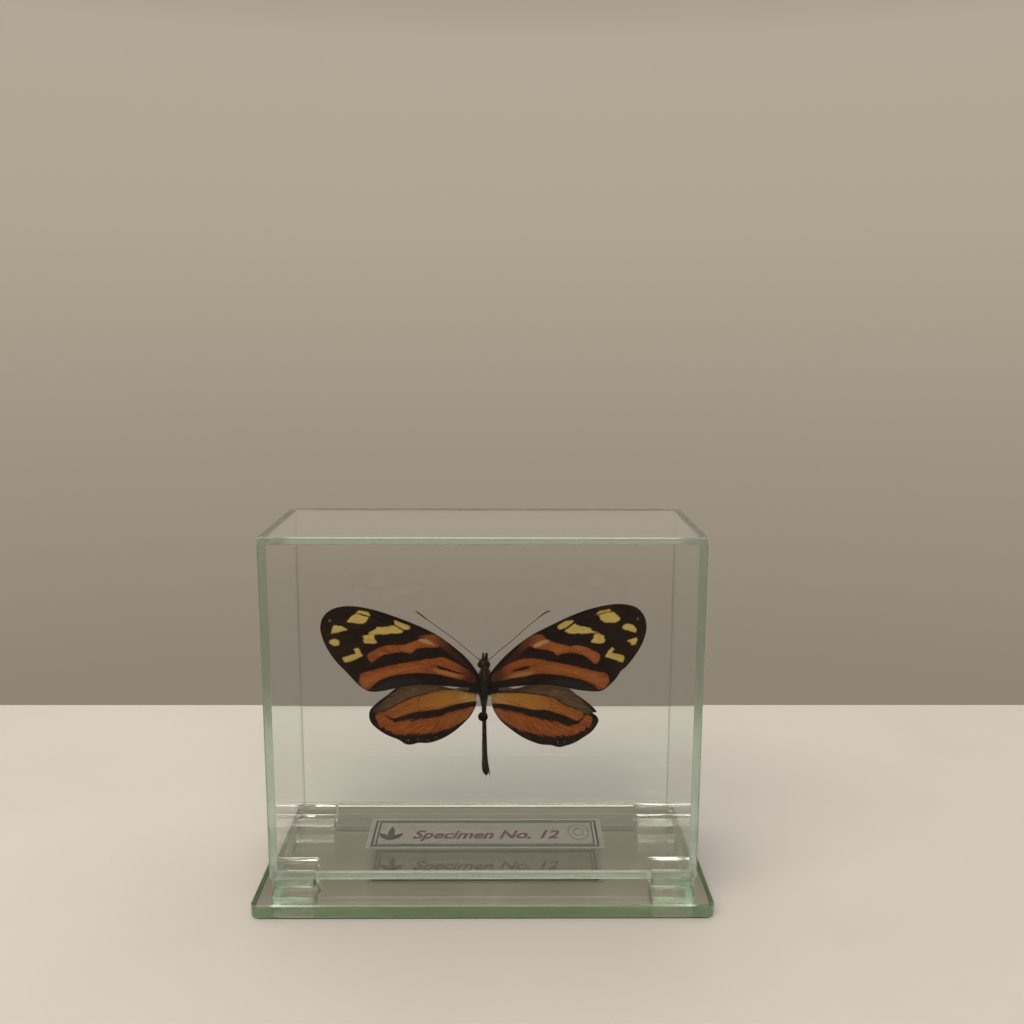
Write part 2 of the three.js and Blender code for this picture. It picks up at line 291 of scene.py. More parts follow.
def smooth_loop(points, spacing, closed=True):
    """Points every spacing along the centripetal Catmull-Rom curve through the given ones."""
    points = np.asarray(points, float)
    count = len(points)
    path = []
    for i in range(count if closed else count - 1):
        if closed:
            p0, p1, p2, p3 = (points[(i + k) % count] for k in (-1, 0, 1, 2))
        else:
            p1, p2 = points[i], points[i + 1]
            p0 = points[i - 1] if i else 2 * p1 - p2
            p3 = points[i + 2] if i + 2 < count else 2 * p2 - p1
        hops = ((p0, p1), (p1, p2), (p2, p3))
        d0, d1, d2 = (math.sqrt(max(np.linalg.norm(b - a), 1e-6)) for a, b in hops)
        m1 = d1 * ((p1 - p0) / d0 - (p2 - p0) / (d0 + d1) + (p2 - p1) / d1)
        m2 = d1 * ((p2 - p1) / d1 - (p3 - p1) / (d1 + d2) + (p3 - p2) / d2)
        amount = max(2, int(np.linalg.norm(p2 - p1) / spacing + 0.5))
        for t in np.arange(amount) / amount:
            ease = 3 * t**2 - 2 * t**3
            path.append((1 - ease) * p1 + (t**3 - 2 * t**2 + t) * m1 + ease * p2 + (t**3 - t**2) * m2)
    if not closed:
        path.append(points[-1])
    return np.array(path)


def distance_to_path(points, path, closed):
    """Each point's distance to a path."""
    starts = path if closed else path[:-1]
    ends = np.roll(path, -1, axis=0) if closed else path[1:]
    nearest = np.full(len(points), 1e9)
    for a, b in zip(starts, ends):
        along = b - a
        share = np.clip(((points - a) @ along) / max(along @ along, 1e-12), 0, 1)
        nearest = np.minimum(nearest, np.linalg.norm(points - a - share[:, None] * along, axis=1))
    return nearest


def inside_of(points, loop):
    """Whether each point is inside a closed loop."""
    inside = np.zeros(len(points), bool)
    for (ax, ay), (bx, by) in zip(loop, np.roll(loop, -1, axis=0)):
        crosses = (ay > points[:, 1]) != (by > points[:, 1])
        if ay != by:
            inside ^= crosses & (points[:, 0] < (bx - ax) * (points[:, 1] - ay) / (by - ay) + ax)
    return inside


def swept(path, radii, sides):
    """A round rod along a path with a radius at each point, closed at both ends."""
    path = np.asarray(path, float)
    tangents = np.gradient(path, axis=0)
    tangents /= np.linalg.norm(tangents, axis=1)[:, None]
    front = np.array([0.0, 1.0, 0.0]) if abs(tangents[0][1]) < 0.8 else np.array([1.0, 0.0, 0.0])
    vertices = []
    for point, tangent, radius in zip(path, tangents, radii):
        side = unit(np.cross(tangent, front))
        front = np.cross(side, tangent)
        vertices += [point + radius * (math.cos(a) * side + math.sin(a) * front) for a in turns(sides)]
    return np.array(vertices), closed_rings(len(path), sides)


def ball(centre, radii, rings, sides):
    """An ellipsoid of quads with small polar caps."""
    angles = np.linspace(0.04, math.pi - 0.04, rings)
    path = np.column_stack([np.zeros(rings), np.zeros(rings), -np.cos(angles)])
    vertices, faces = swept(path, np.sin(angles), sides)
    return vertices * radii + centre, faces


def set_attribute(piece, key, values, kind="FLOAT", domain="POINT"):
    """Gives a piece's mesh values that its material reads."""
    layer = piece.data.attributes.new(key, kind, domain)
    layer.data.foreach_set("value" if kind == "FLOAT" else "vector", np.ravel(values))


# ---- Base, feet and panes ----

# Where glued pieces meet, one sinks this far into the other, so that the glass is whole there.
GLUE_FILM = 0.02
# How a rim flares out to its ends in glue: [height, distance back] in shares of the fillet.
FLARE = ((0.0, 0.0), (0.3, 0.55), (0.7, 0.85), (1.3, 1.0))
WAVES_ROUND = (3, 5, 8, 13)


def rounded_plate(low, high, corner, arris, corner_steps=8, waviness=0.0, wave_steps=1, fillet=0.0):
    """(vertices, faces) of a plate with rounded corners and a bevelled rim.

    arris is the bevels' size at the bottom and at the top. fillet makes the rim hollow instead, as
    where glue flares out at the bottom and at the top.
    """
    middle, half = (low + high) / 2, (high - low) / 2
    outline = []
    for turn, (sx, sy) in enumerate(((1, 1), (-1, 1), (-1, -1), (1, -1))):
        centre = np.array([sx * (half[0] - corner), sy * (half[1] - corner)])
        for step in range(corner_steps + 1):
            angle = (turn + step / corner_steps) * math.pi / 2
            outline.append(centre + corner * np.array([math.cos(angle), math.sin(angle)]))
    parts = np.arange(wave_steps)[:, None] / wave_steps
    outline = np.concatenate([a + (b - a) * parts for a, b in zip(outline, outline[1:] + outline[:1])])
    across = np.roll(outline, -1, axis=0) - np.roll(outline, 1, axis=0)
    normal = np.stack([across[:, 1], -across[:, 0]], axis=1)
    normal /= np.linalg.norm(normal, axis=1)[:, None]
    count = len(outline)
    below, above = arris
    levels = [(-half[2], -below), (-half[2] + below, 0.0), (half[2] - above, 0.0), (half[2], -above)]
    if fillet:
        levels = [(-half[2] + up * fillet, -back * fillet) for up, back in FLARE]
        levels += [(half[2] - up * fillet, -back * fillet) for up, back in reversed(FLARE)]
    rings = []
    for z, shift in levels:
        wander = np.zeros(count)
        for waves in WAVES_ROUND if waviness else ():
            phase = draw.uniform(0, TURN)
            wander += waviness / waves**0.5 * np.sin(waves * turns(count) + phase)
        moved = outline + normal * (shift - np.abs(wander))[:, None]
        rings.append(np.column_stack([moved + middle[:2], np.full(count, middle[2] + z)]))
    return np.concatenate(rings), closed_rings(len(rings), count)


def mark_ground(piece, thin_axis):
    """Gives the ground attribute to every face but the two large ones across thin_axis."""
    values = [float(abs(face.normal[thin_axis]) < 0.99) for face in piece.data.polygons]
    set_attribute(piece, "ground", values, domain="FACE")


BACKING = 0.3
SILVER_DEPTH = 0.04
BACKING_INSET = np.array([0.45, 0.45, 0])
BACKING_ARRIS = 0.03
BASE_CORNER = 2.2
BASE_ARRIS = 0.4

base_low, base_high = box_mm("mirror_base")
shape = rounded_plate(base_low + (0, 0, BACKING), base_high, BASE_CORNER, (BASE_ARRIS, BASE_ARRIS))
base_glass = make_piece("base_glass", shape, mirror_glass, "mirror_base", 25)
mark_ground(base_glass, 2)

# The silver is the upper side of the backing, a little inside the glass.
backing_low, backing_high = base_low + BACKING_INSET, base_high - BACKING_INSET
backing_high[2] = base_low[2] + BACKING + SILVER_DEPTH
shape = rounded_plate(backing_low, backing_high, BASE_CORNER, (BACKING_ARRIS, BACKING_ARRIS))
backing = make_piece("mirror_backing", shape, lacquer, sharp_degrees=25)
backing.data.materials.append(silver)
for face in backing.data.polygons:
    face.material_index = int(face.normal.z > 0.9)

FOOT_CORNER = 1.3
for place in ("front_left", "front_right", "back_left", "back_right"):
    low, high = box_mm(f"foot_{place}")
    low[2] -= GLUE_FILM
    high[2] += GLUE_FILM
    shape = rounded_plate(low, high, FOOT_CORNER, (0, 0), 6, waviness=0.1, wave_steps=3, fillet=0.2)
    foot = make_piece(f"pad_{place}", shape, acrylic, f"foot_{place}", 30)
    mark_ground(foot, 2)

# The free edges of floor and lid are bevelled, the glued ones are as good as sharp.
PANE_ARRIS = {"bottom": (0.28, 0.02), "top": (0.02, 0.28)}
GLUED_ARRIS = (0.02, 0.02)
PANE_CORNER = 0.1
# Floor and lid are ground round their corners, so that the arris can run on round them.
GROUND_CORNER = 0.35
for place in ("bottom", "top", "front", "back", "left", "right"):
    low, high = box_mm(f"pane_{place}")
    if place not in PANE_ARRIS:
        low[2] -= GLUE_FILM
        high[2] += GLUE_FILM
    if place in ("left", "right"):
        low[1] -= GLUE_FILM
        high[1] += GLUE_FILM
    corner = GROUND_CORNER if place in PANE_ARRIS else PANE_CORNER
    shape = rounded_plate(low, high, corner, PANE_ARRIS.get(place, GLUED_ARRIS), 3)
    pane = make_piece(f"glass_{place}", shape, float_glass, f"pane_{place}", smooth=False)
    mark_ground(pane, int(np.argmin(high - low)))

# ---- Label: a printed film lying on the floor pane ----

FILM_THICKNESS = 0.12
FILM_GAP = 0.03
FILM_CORNER = 0.4
# The print shows from both sides, so each printed shape goes through the film.
PRINT_PROUD = 0.01

label_low, label_high = box_mm("label")
label_middle = (label_low[:2] + label_high[:2]) / 2
film_low = label_low + (0, 0, FILM_GAP)
film_high = np.array([*label_high[:2], film_low[2] + FILM_THICKNESS])
shape = rounded_plate(film_low, film_high, FILM_CORNER, (0.01, 0.01), 4)
make_piece("label_film", shape, film, "label", 25)
print_low, print_high = film_low[2] - PRINT_PROUD, film_high[2] + PRINT_PROUD


def printed_shape(outline):
    """(vertices, faces) of a flat shape on the label, given anticlockwise."""
    points = np.asarray(outline) + label_middle
    rings = [np.column_stack([points, np.full(len(points), z)]) for z in (print_low, print_high)]
    return np.concatenate(rings), closed_rings(2, len(points))


def printed_frame(w, d, line):
    """The four bars of a rectangular frame, from half its width, half its depth and its line width."""
    bars = [(-w, -d, w, -d + line), (-w, d - line, w, d)]
    bars += [(-w, -d + line, -w + line, d - line), (w - line, -d + line, w, d - line)]
    return [printed_shape([(x0, y0), (x1, y0), (x1, y1), (x0, y1)]) for x0, y0, x1, y1 in bars]


def dotted_ring(centre, radius_x, radius_y, dots, dot_radius):
    """A ring of small round dots."""
    rim = dot_radius * np.column_stack([np.cos(turns(8)), np.sin(turns(8))])
    around = turns(dots)
    middles = np.column_stack([radius_x * np.cos(around), radius_y * np.sin(around)]) + centre
    return [printed_shape(rim + middle) for middle in middles]


def leaf(stem, length, width, angle):
    """A pointed leaf."""
    share = np.linspace(0, 1, 9)
    lower = np.column_stack([share * length, -width * np.sin(math.pi * share) ** 1.2])
    outline = np.concatenate([lower, (lower * (1, -1))[-2:0:-1]])
    turn = np.array([[math.cos(angle), math.sin(angle)], [-math.sin(angle), math.cos(angle)]])
    return printed_shape(outline @ turn + stem)


bars = printed_frame(32.1, 7.75, 0.6) + printed_frame(30.9, 6.75, 0.42)
make_piece("label_frame", joined(bars), blue_ink, smooth=False)

# The words reach from WORDS_LEFT to WORDS_RIGHT and stand on WORDS_FOOT, from the label's middle.
WORDS_LEFT, WORDS_RIGHT, WORDS_FOOT = -20.7, 21.2, -3.1
WORDS_HEIGHT = 6.375
LETTERING = {
    "body": "Specimen No. 12",
    "size": 1.0,
    "shear": 0.32,
    "offset": 0.024,
    "extrude": 0.1,
    "resolution_u": 4,
}
lettering = bpy.data.curves.new("label_words", "FONT")
for setting, value in LETTERING.items():
    setattr(lettering, setting, value)
curve = add_object("label_words_curve", lettering)
bpy.context.view_layer.update()
word_mesh = bpy.data.meshes.new_from_object(curve.evaluated_get(bpy.context.evaluated_depsgraph_get()))
bpy.data.objects.remove(curve)
letters = np.array([v.co[:] for v in word_mesh.vertices])
letter_low, letter_high = letters.min(0), letters.max(0)
share = (letters - letter_low) / (letter_high - letter_low)
baseline = -letter_low[1] / (letter_high[1] - letter_low[1])
letters[:, 0] = label_middle[0] + WORDS_LEFT + share[:, 0] * (WORDS_RIGHT - WORDS_LEFT)
letters[:, 1] = label_middle[1] + WORDS_FOOT + (share[:, 1] - baseline) * WORDS_HEIGHT
letters[:, 2] = print_low + share[:, 2] * (print_high - print_low)
word_mesh.vertices.foreach_set("co", (letters * MM).ravel())
word_mesh.materials.clear()
word_mesh.materials.append(red_ink)
label_words = add_object("label_words", word_mesh)
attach(label_words, "root")

SPRIG_STEM = (-27, -4.2)
LEAVES = ((5.6, 52), (8.4, 90), (5.6, 128))
RING_CENTRE = (26.7, 0.6)
ornaments = [leaf(SPRIG_STEM, length, 1.0, math.radians(degrees)) for length, degrees in LEAVES]
ornaments += dotted_ring(RING_CENTRE, 2.9, 4.4, 22, 0.25) + dotted_ring(RING_CENTRE, 1.4, 2.1, 10, 0.26)
make_piece("label_ornaments", joined(ornaments), grey_ink, smooth=False)

# ---- Wings ----

# Outlines as [x, z] in mm, seen from the front.
FOREWING_LEFT = [
    (-1.3, 55.6), (-4.5, 60.8), (-9.2, 65.2), (-13.7, 68.5), (-19.8, 71.5), (-26.2, 74),
    (-31, 75.5), (-35.7, 76.3), (-39.1, 76.2), (-42, 75.3), (-44.2, 73.4), (-45.2, 70.5),
    (-44.7, 67.3), (-43.3, 63.9), (-41.1, 60.6), (-37.9, 57.1), (-35, 53.9), (-32.6, 52.2),
    (-31.1, 51.9), (-28.3, 52.1), (-24.1, 53.1), (-20.3, 53.7), (-17.2, 53.9), (-10.8, 53.4),
    (-4.5, 52.9), (-1.3, 53.2),
]
FOREWING_RIGHT = [
    (0.9, 53.2), (0.9, 55.6), (4, 60.1), (7.8, 64), (12.7, 67.9), (17.8, 70.7), (23.6, 73.6),
    (28.2, 75.4), (33, 76.6), (36.2, 77), (39.3, 76.8), (42.1, 75.8), (44, 73.5),
    (44.7, 70.8), (44.4, 68), (43.2, 64.8), (41.5, 62), (39.3, 59.1), (37.8, 57.8),
    (37, 56.4), (35.2, 54.2), (33, 52.4), (31.9, 52), (28.7, 52.1), (25.5, 52.5),
    (22.3, 53.2), (17.6, 53.8), (12.8, 53.7), (9.6, 53.4), (4.9, 52.9),
]
HINDWING_LEFT = [
    (-1.4, 52.4), (-4.5, 53), (-6.4, 52.7), (-9, 52.3), (-12.5, 53.3), (-17, 54.5), (-21.5, 54.2),
    (-24.6, 52.6), (-26.7, 50.8), (-30, 48.2), (-32.1, 45.9), (-32.4, 44.1), (-31.9, 42.3),
    (-30.3, 40.6), (-27.7, 38.8), (-24.2, 37.3), (-22.2, 36), (-20.6, 35.9), (-18.6, 36.4),
    (-15.8, 36.4), (-12.7, 37.3), (-9.6, 39), (-6.5, 41.5), (-3.8, 44.5), (-2.3, 47.9),
    (-2.3, 50.2), (-1.4, 51.3),
]
HINDWING_RIGHT = [
    (1.75, 50.3), (1, 51.3), (1, 52.4), (4.4, 53), (6.4, 52.7), (8.6, 52.3), (12, 53.3),
    (16.5, 54.5), (20.8, 54), (23.6, 52.4), (25.5, 50.8), (28.9, 48.2), (31.3, 45.8),
    (31.4, 45.4), (30.2, 45.2), (31.3, 44.4), (32, 43.1), (31.6, 41.7), (30.2, 39.7),
    (27.9, 38), (25.3, 36.4), (23.1, 35.6), (20.9, 35.1), (18.7, 35.7), (15.5, 36),
    (11.4, 37.6), (7.5, 40.2), (4, 43.4), (2.2, 46.9),
]

# Markings as [x, z] outlines in mm: "spots" are yellow, "bands" orange, "light", "glow", "pale",
# "amber" and "butter" ever paler parts of these, "khaki" a greenish part, "rust" the brown edge of the
# forewing, "wedge" a dark gap, "strip" grey brown, "fold" a pale crease at the front of the hindwing,
# "cuts" lines over spots, and "dots" pale dots as [x, z, radius]. The remaining kind, on the forewings,
# is painted sheen: a blue-grey cast of reflected light on the dark trailing band.
MARKINGS = {
    "forewing_left": {
        "spots": [
            [(-37.8, 72), (-36.6, 73.3), (-35.3, 74.1), (-34.8, 74.9), (-33.4, 75), (-31.8, 74.5),
             (-31.2, 73.6), (-31.7, 72.9), (-32.5, 71.7), (-33.4, 71.2), (-35.6, 71.3), (-37.6, 71.5)],
            [(-42.5, 68.1), (-41.7, 70.4), (-40.8, 70.7), (-39.1, 70.4), (-37.4, 69.6), (-38.8, 69),
             (-40.4, 68.6)],
            [(-42.9, 65.7), (-42.5, 66.6), (-41.5, 66.8), (-40.3, 66.5), (-39.8, 65.7), (-40.3, 65),
             (-41.3, 64.7), (-42.2, 65)],
            [(-39.4, 61.5), (-38.8, 59.9), (-36.2, 60.7), (-33.3, 62.1), (-34.1, 63), (-34.5, 64),
             (-34.9, 64.4), (-36.4, 63.9), (-35.7, 63.4), (-35.8, 62.6), (-38, 61.9)],
            [(-25, 72.1), (-24.1, 72.2), (-22.2, 71.3), (-20.5, 70.4), (-20.7, 69.5), (-21.6, 69.3),
             (-23.2, 70), (-24.9, 71)],
            [(-31.8, 68.6), (-29.4, 70.3), (-27.5, 70.4), (-26, 70.5), (-25.1, 70.9), (-23.5, 69.9),
             (-22.4, 69), (-22.9, 68.5), (-25.1, 68.4), (-28.2, 68.1), (-31.5, 68.2)],
            [(-33.7, 67.6), (-32.6, 68.1), (-30.1, 68.4), (-30.4, 67.6), (-30.1, 66.6), (-29.3, 65.8),
             (-30.7, 65.4), (-33.1, 65.5), (-33.5, 66.1), (-33.2, 66.8)],
        ],
        "cuts": [[(-37.5, 74.3), (-34, 73.8), (-30.5, 72.9)], [(-26, 71.5), (-24, 70.5), (-21.8, 69)]],
        "bands": [
            [(-32.4, 62.1), (-30.8, 63.4), (-27.9, 64.8), (-24.5, 65.2), (-22.3, 65.2), (-20.1, 66),
             (-17.9, 66.8), (-16, 67.5), (-14.6, 67.6), (-13.2, 66.5), (-12.3, 64.7), (-17, 64.3),
             (-19, 63.9), (-20, 62.8), (-22.6, 63.2), (-25.1, 62.9), (-28.3, 62.2), (-31.3, 60.3)],
            [(-34.8, 55), (-34.1, 57), (-32.2, 57.6), (-28, 58.8), (-24.6, 59.6), (-20.2, 60.3),
             (-17, 60.9), (-13.9, 61.3), (-11.3, 61.5), (-8.5, 60.2), (-6, 58.7), (-3.6, 57), (-2.4, 55.4),
             (-2.6, 54.2), (-5.9, 54.8), (-9.5, 55.7), (-13.9, 56.7), (-18.6, 57.1), (-23.4, 56.7),
             (-27.2, 55.8), (-29.7, 54.6), (-32.5, 52.3), (-33.8, 53), (-34.7, 54.3)],
        ],
        "rust": [
            [(-18.3, 67.4), (-16, 68), (-14, 68.1), (-12.4, 67.2), (-10.8, 65.9), (-9, 64.2), (-7, 62),
             (-4.8, 59.4), (-2.9, 57.1), (-3.8, 57.6), (-6.1, 59.4), (-8.7, 61.6), (-11, 63.6),
             (-13, 65), (-14.4, 66), (-16, 67)],
        ],
        "light": [
            [(-34.4, 55.5), (-33, 53.3), (-31.2, 54.5), (-28.4, 55.9), (-23.3, 57), (-16.8, 57.5),
             (-16.8, 58.6), (-23, 58.4), (-28.3, 57.2), (-31.8, 56.5)],
            [(-23.4, 64.7), (-21.5, 65.4), (-19.2, 66.1), (-17.8, 65.6), (-19.9, 63.7), (-22, 63.3)],
        ],
        "glow": [[(-14.5, 58.1), (-11.9, 57.9), (-9.4, 57.2), (-6.9, 56.4), (-4.5, 55.9), (-7.1, 55.7),
                  (-9.9, 56.1), (-12.9, 57)]],
        "pale": [[(-18.1, 66.5), (-16, 66.8), (-14.4, 65.8), (-13.5, 65), (-15.1, 65.2), (-16.9, 65.8)]],
        "wedge": [[(-13.4, 59.3), (-11.7, 58.8), (-9.4, 57.9), (-7.1, 57.1), (-4.8, 56.4), (-7.1, 56.7),
                   (-10.1, 57.5), (-12.7, 58.4)]],
        # Painted sheen: a blue-grey cast of reflected light on the dark trailing band.
        "painted_sheen": [
            [(-31.6, 52.4), (-29.1, 54.2), (-25.9, 55.3), (-22.1, 55.5), (-18.3, 55.3), (-17.1, 54.3),
             (-20.2, 53.5), (-24.7, 53), (-28.5, 52.2), (-31, 51.9)],
        ],
        "dots": [(-42.5, 72, 0.36)],
    },
    "forewing_right": {
        "spots": [
            [(30.7, 73.8), (31.2, 74.6), (34.2, 75.6), (35, 74.8), (35.8, 74.4), (37.4, 73), (37.4, 72.2),
             (36.1, 71.5), (33, 71.6), (31.9, 72.4), (31.4, 73.6)],
            [(37.6, 69.9), (38.7, 71), (39.6, 71.2), (41, 70.9), (42, 69.6), (42, 68.4), (40.8, 68.8),
             (39.2, 69.3)],
            [(39.4, 66.5), (40.6, 66.8), (42.2, 67.2), (42.4, 66.5), (41.9, 65.4), (40.8, 64.9),
             (40.2, 65.7)],
            [(33.3, 62.2), (33.5, 61.6), (34.8, 61.3), (36.7, 60.7), (38.4, 60), (38.8, 61.3),
             (38.5, 62.2), (36.8, 62.6), (35.1, 63.1), (36, 63.9), (35.3, 64.7), (34.6, 63.9), (34, 63.1)],
            [(20, 70.7), (22, 71.8), (24.2, 72.5), (24.6, 72), (24.1, 71.3), (22.1, 69.8), (20.7, 69.5),
             (20.2, 70.1)],
            [(22, 69.3), (23.5, 70.2), (24.9, 71.5), (25.8, 70.7), (27.7, 70.5), (29, 70.1),
             (29.9, 69.3), (31.5, 68.8), (29.9, 68.5), (26.8, 68.4), (23.3, 68.4)],
            [(29.2, 66), (30, 67), (30.2, 68.2), (31.5, 68.5), (32.8, 68), (33.3, 66.8), (33.1, 65.7),
             (31.9, 65.4), (30.3, 65.7)],
        ],
        "cuts": [[(30, 73.4), (32.7, 74.3), (36, 74.8)], [(21.5, 69), (23.4, 70.4), (25.2, 72)]],
        "bands": [
            [(12.2, 65.2), (13, 66.2), (14.6, 67.3), (15.8, 67.3), (17.7, 66.5), (19, 66), (22.1, 65.2),
             (23.5, 64.9), (25.9, 65.1), (28.4, 64.4), (32, 62.2), (31.1, 59.9), (30.4, 59.9),
             (29.4, 60.9), (27.5, 62.2), (25, 62.9), (22.1, 62.9), (19.9, 62.4), (19, 63.2),
             (17.1, 63.7), (14.9, 64), (13.3, 64.4)],
            [(2.1, 56.2), (4.8, 58.3), (7.4, 59.9), (10.5, 61.1), (13.7, 61.2), (19, 60.3), (25.3, 59),
             (31.7, 57.5), (33.6, 57.2), (34.4, 56), (34.6, 55), (34.3, 53.7), (32.1, 52.3),
             (30.5, 53.6), (27.9, 54.9), (24.8, 55.8), (21.6, 56.4), (17.8, 56.8), (14.3, 56.6),
             (10.5, 55.8), (7.4, 55.3), (3.9, 54.5), (2.2, 54.5)],
        ],
        "rust": [
            [(11.5, 66.8), (13.7, 68), (15.8, 68.1), (16.9, 67), (14.6, 66.6), (12.8, 65.2),
             (10.7, 63), (7.6, 59.7), (4.9, 57.1), (3.3, 55.7), (2.8, 55.9), (5.4, 59.2), (8.4, 63.1)],
        ],
        "light": [
            [(9.2, 57.2), (13.1, 58), (18.6, 57.4), (24.5, 56.4), (29.1, 55.5), (32.2, 53.7), (34, 54.6),
             (31.5, 56.6), (26, 57.7), (19.9, 58.8), (14.4, 58.7)],
            [(18.6, 65.4), (21.3, 64.8), (23.4, 64.5), (21.6, 63.2), (19.8, 62.8), (18.4, 63.9)],
            [(24.7, 64.8), (28.3, 64.1), (31.1, 62.3), (30.8, 60.7), (28.4, 62.3), (25.9, 63.6)],
        ],
        "glow": [[(3.3, 55.3), (6.4, 56), (9.5, 56.9), (13.8, 57.5), (13.1, 56.7), (9.2, 55.8),
                  (5.2, 54.9)]],
        "pale": [[(13.4, 64.7), (14.6, 65.9), (16.7, 66.6), (18.1, 66.3), (16.1, 65.1), (14, 64.4)]],
        "wedge": [[(7.2, 57.4), (9.5, 58.4), (12.1, 59.1), (12.9, 58.8), (11.6, 58.1), (9.2, 57.5)]],
        # Painted sheen: a blue-grey cast of reflected light on the dark trailing band.
        "painted_sheen": [
            [(31.5, 52), (29.2, 53.5), (26.7, 54.5), (23.5, 55.2), (20.3, 55.3), (17.8, 54.7),
             (20.4, 53.7), (23.5, 53), (26.7, 52.4), (29.9, 51.8)],
        ],
        "dots": [(42.2, 72.5, 0.36)],
    },
    "hindwing_left": {
        "bands": [
            [(-28.3, 44.7), (-26.8, 46), (-24.6, 47.3), (-22, 48.6), (-19.8, 49.6), (-16.9, 50.3),
             (-14, 51.1), (-10.8, 51.6), (-7.7, 51.5), (-4.5, 51), (-1.9, 50.8), (-1.9, 48.7),
             (-4.5, 48.2), (-8.3, 47.5), (-11.5, 46.5), (-17.3, 45.6), (-20.5, 45), (-23, 44.1),
             (-25.6, 43.5), (-27.2, 43.9)],
            [(-30.7, 43.5), (-30.3, 44.6), (-28.7, 45.2), (-28, 44.1), (-26.8, 43.2), (-25.3, 42.6),
             (-23, 42.6), (-19.8, 42.8), (-17.3, 43.4), (-14.1, 43.6), (-11.5, 44.4), (-7.7, 45.6),
             (-2.4, 46.8), (-2.7, 46.2), (-4, 44.5), (-6.2, 42.4), (-8.6, 40.9), (-11.9, 39.9),
             (-15.4, 39.1), (-19.6, 38.9), (-25, 38.9), (-27.5, 39.9), (-29.4, 41.3), (-30.4, 42.8)],
        ],
        "amber": [[(-29, 46), (-24.7, 49), (-17.6, 51), (-6, 52), (-1, 51.4), (-1, 48.2), (-6, 47.6),
                   (-12, 46.8), (-20, 45.8), (-26, 43.6)]],
        "fold": [[(-8.5, 52.3), (-6, 52.6), (-3.2, 52.4), (-3.2, 51.7), (-6, 51.8), (-8.5, 51.9)]],
        "butter": [[(-6.5, 50.4), (-4.4, 51.1), (-1.5, 50.6), (-1.5, 48), (-4.1, 48.1), (-6.2, 48.4)]],
        "khaki": [[(-8.8, 44.8), (-5.3, 46), (-2, 46.4), (-3, 44.5), (-6, 42.2), (-8.9, 40.8),
                   (-9.5, 42.8)]],
        "strip": [
            [(-31.3, 45.5), (-28.7, 48.1), (-25.4, 51), (-22.9, 53), (-17.2, 55), (-10.8, 53),
             (-2.4, 51.6), (-2.4, 50.8), (-7.7, 51.6), (-14, 51.4), (-16.9, 50.6), (-19.8, 49.9),
             (-22, 48.9), (-24.6, 47.6), (-26.8, 46.2), (-28.4, 45.3), (-30.3, 44.8)],
        ],
        "dots": [(-21.5, 37, 0.22), (-18.8, 37.3, 0.16), (-16, 37.2, 0.2), (-13.6, 37.9, 0.12),
                 (-25.8, 38.1, 0.12)],
    },
    "hindwing_right": {
        "bands": [
            [(1.4, 49.4), (1.5, 50.4), (6.4, 50.8), (9.6, 50.8), (12.8, 50.5), (16, 50), (19.2, 49.3),
             (21.1, 48.1), (23, 47), (25.3, 46), (27.6, 44.7), (27.8, 44), (26.9, 43.2), (25.6, 42.7),
             (24.4, 43.3), (22.4, 44.3), (19.9, 45.1), (16.7, 45.9), (13.5, 46.1), (9.6, 46.8),
             (5.8, 47.6), (1.5, 48.1)],
            [(2.6, 45.6), (2.9, 46.2), (6.5, 45.6), (9.6, 44.9), (13.5, 43.9), (16, 43.2), (19.3, 42.4),
             (22.5, 41.5), (24.4, 41.2), (26.6, 42.1), (27.8, 43.4), (28.3, 44.2), (29.8, 44),
             (30.3, 43.2), (29.8, 41.5), (28.2, 39.9), (25.7, 38.8), (20.9, 38.2), (15.1, 38.7),
             (10, 39.8), (7.5, 41), (4.9, 42.9), (3.2, 44.6)],
        ],
        "amber": [[(0.8, 50.8), (5, 51.6), (10.4, 51.5), (18.8, 50.3), (24.9, 47.4), (28.4, 45.4),
                   (25, 43.4), (17, 45), (9, 46.6), (1, 47.6)]],
        "fold": [[(3, 52.4), (6, 52.6), (8.2, 52.2), (8.2, 51.9), (6, 51.8), (3, 51.7)]],
        "butter": [[(1.2, 50.3), (3.6, 50.5), (5.2, 49.6), (6.4, 47.9), (3.8, 47.9), (1.3, 48.1)]],
        "khaki": [[(3, 45.3), (5.2, 45.2), (7.6, 43.5), (9.5, 40.8), (7.4, 41.4), (4.6, 43.4)]],
        "strip": [
            [(30.1, 45.6), (27.8, 48.1), (25.5, 50.8), (23.3, 53), (16.5, 55), (9.6, 52.8), (2, 51.8),
             (2, 50.8), (6.4, 51.1), (12.8, 50.8), (16, 50.3), (19.2, 49.6), (21.3, 48.5),
             (23.2, 47.3), (25.3, 46.3), (27.7, 45), (29.8, 44.8)],
        ],
        "dots": [(20.6, 36.5, 0.22), (18.7, 36.8, 0.14), (22.5, 36.5, 0.18), (16.1, 37.4, 0.14),
                 (12.6, 38, 0.14)],
    },
}

# Veins of the right wings, from the root outwards; the left wings carry their mirror image.
FOREWING_VEINS = [
    [(1.5, 55), (7, 61.4), (12.4, 66), (20, 70.2), (24.5, 72.4)],
    [(1.5, 54.7), (6, 59.6), (11.4, 64.3), (18, 67.9), (22.6, 69.6), (28, 72.4), (33.6, 75.5)],
    [(22.6, 69.6), (30, 71.6), (37, 74), (41.8, 74.9)],
    [(30, 71.6), (37, 72.3), (43.8, 73)],
    [(22.6, 69.6), (24.6, 67.9), (24.2, 65.4), (22.8, 63.1)],
    [(24.6, 68.2), (33, 69.9), (44.4, 69.6)],
    [(24.4, 66.2), (33, 67.1), (44.2, 66.2)],
    [(22.8, 63.1), (32, 63.9), (42.4, 62.3)],
    [(1.5, 54.2), (7, 57.1), (14, 59.6), (20, 61.8), (22.8, 63.1)],
    [(19, 61.4), (28.5, 60.2), (36.8, 56.4)],
    [(13.2, 59.3), (23, 57.6), (34, 52.2)],
    [(1.5, 53.6), (10, 54.6), (20, 54.6), (30.5, 51.9)],
]
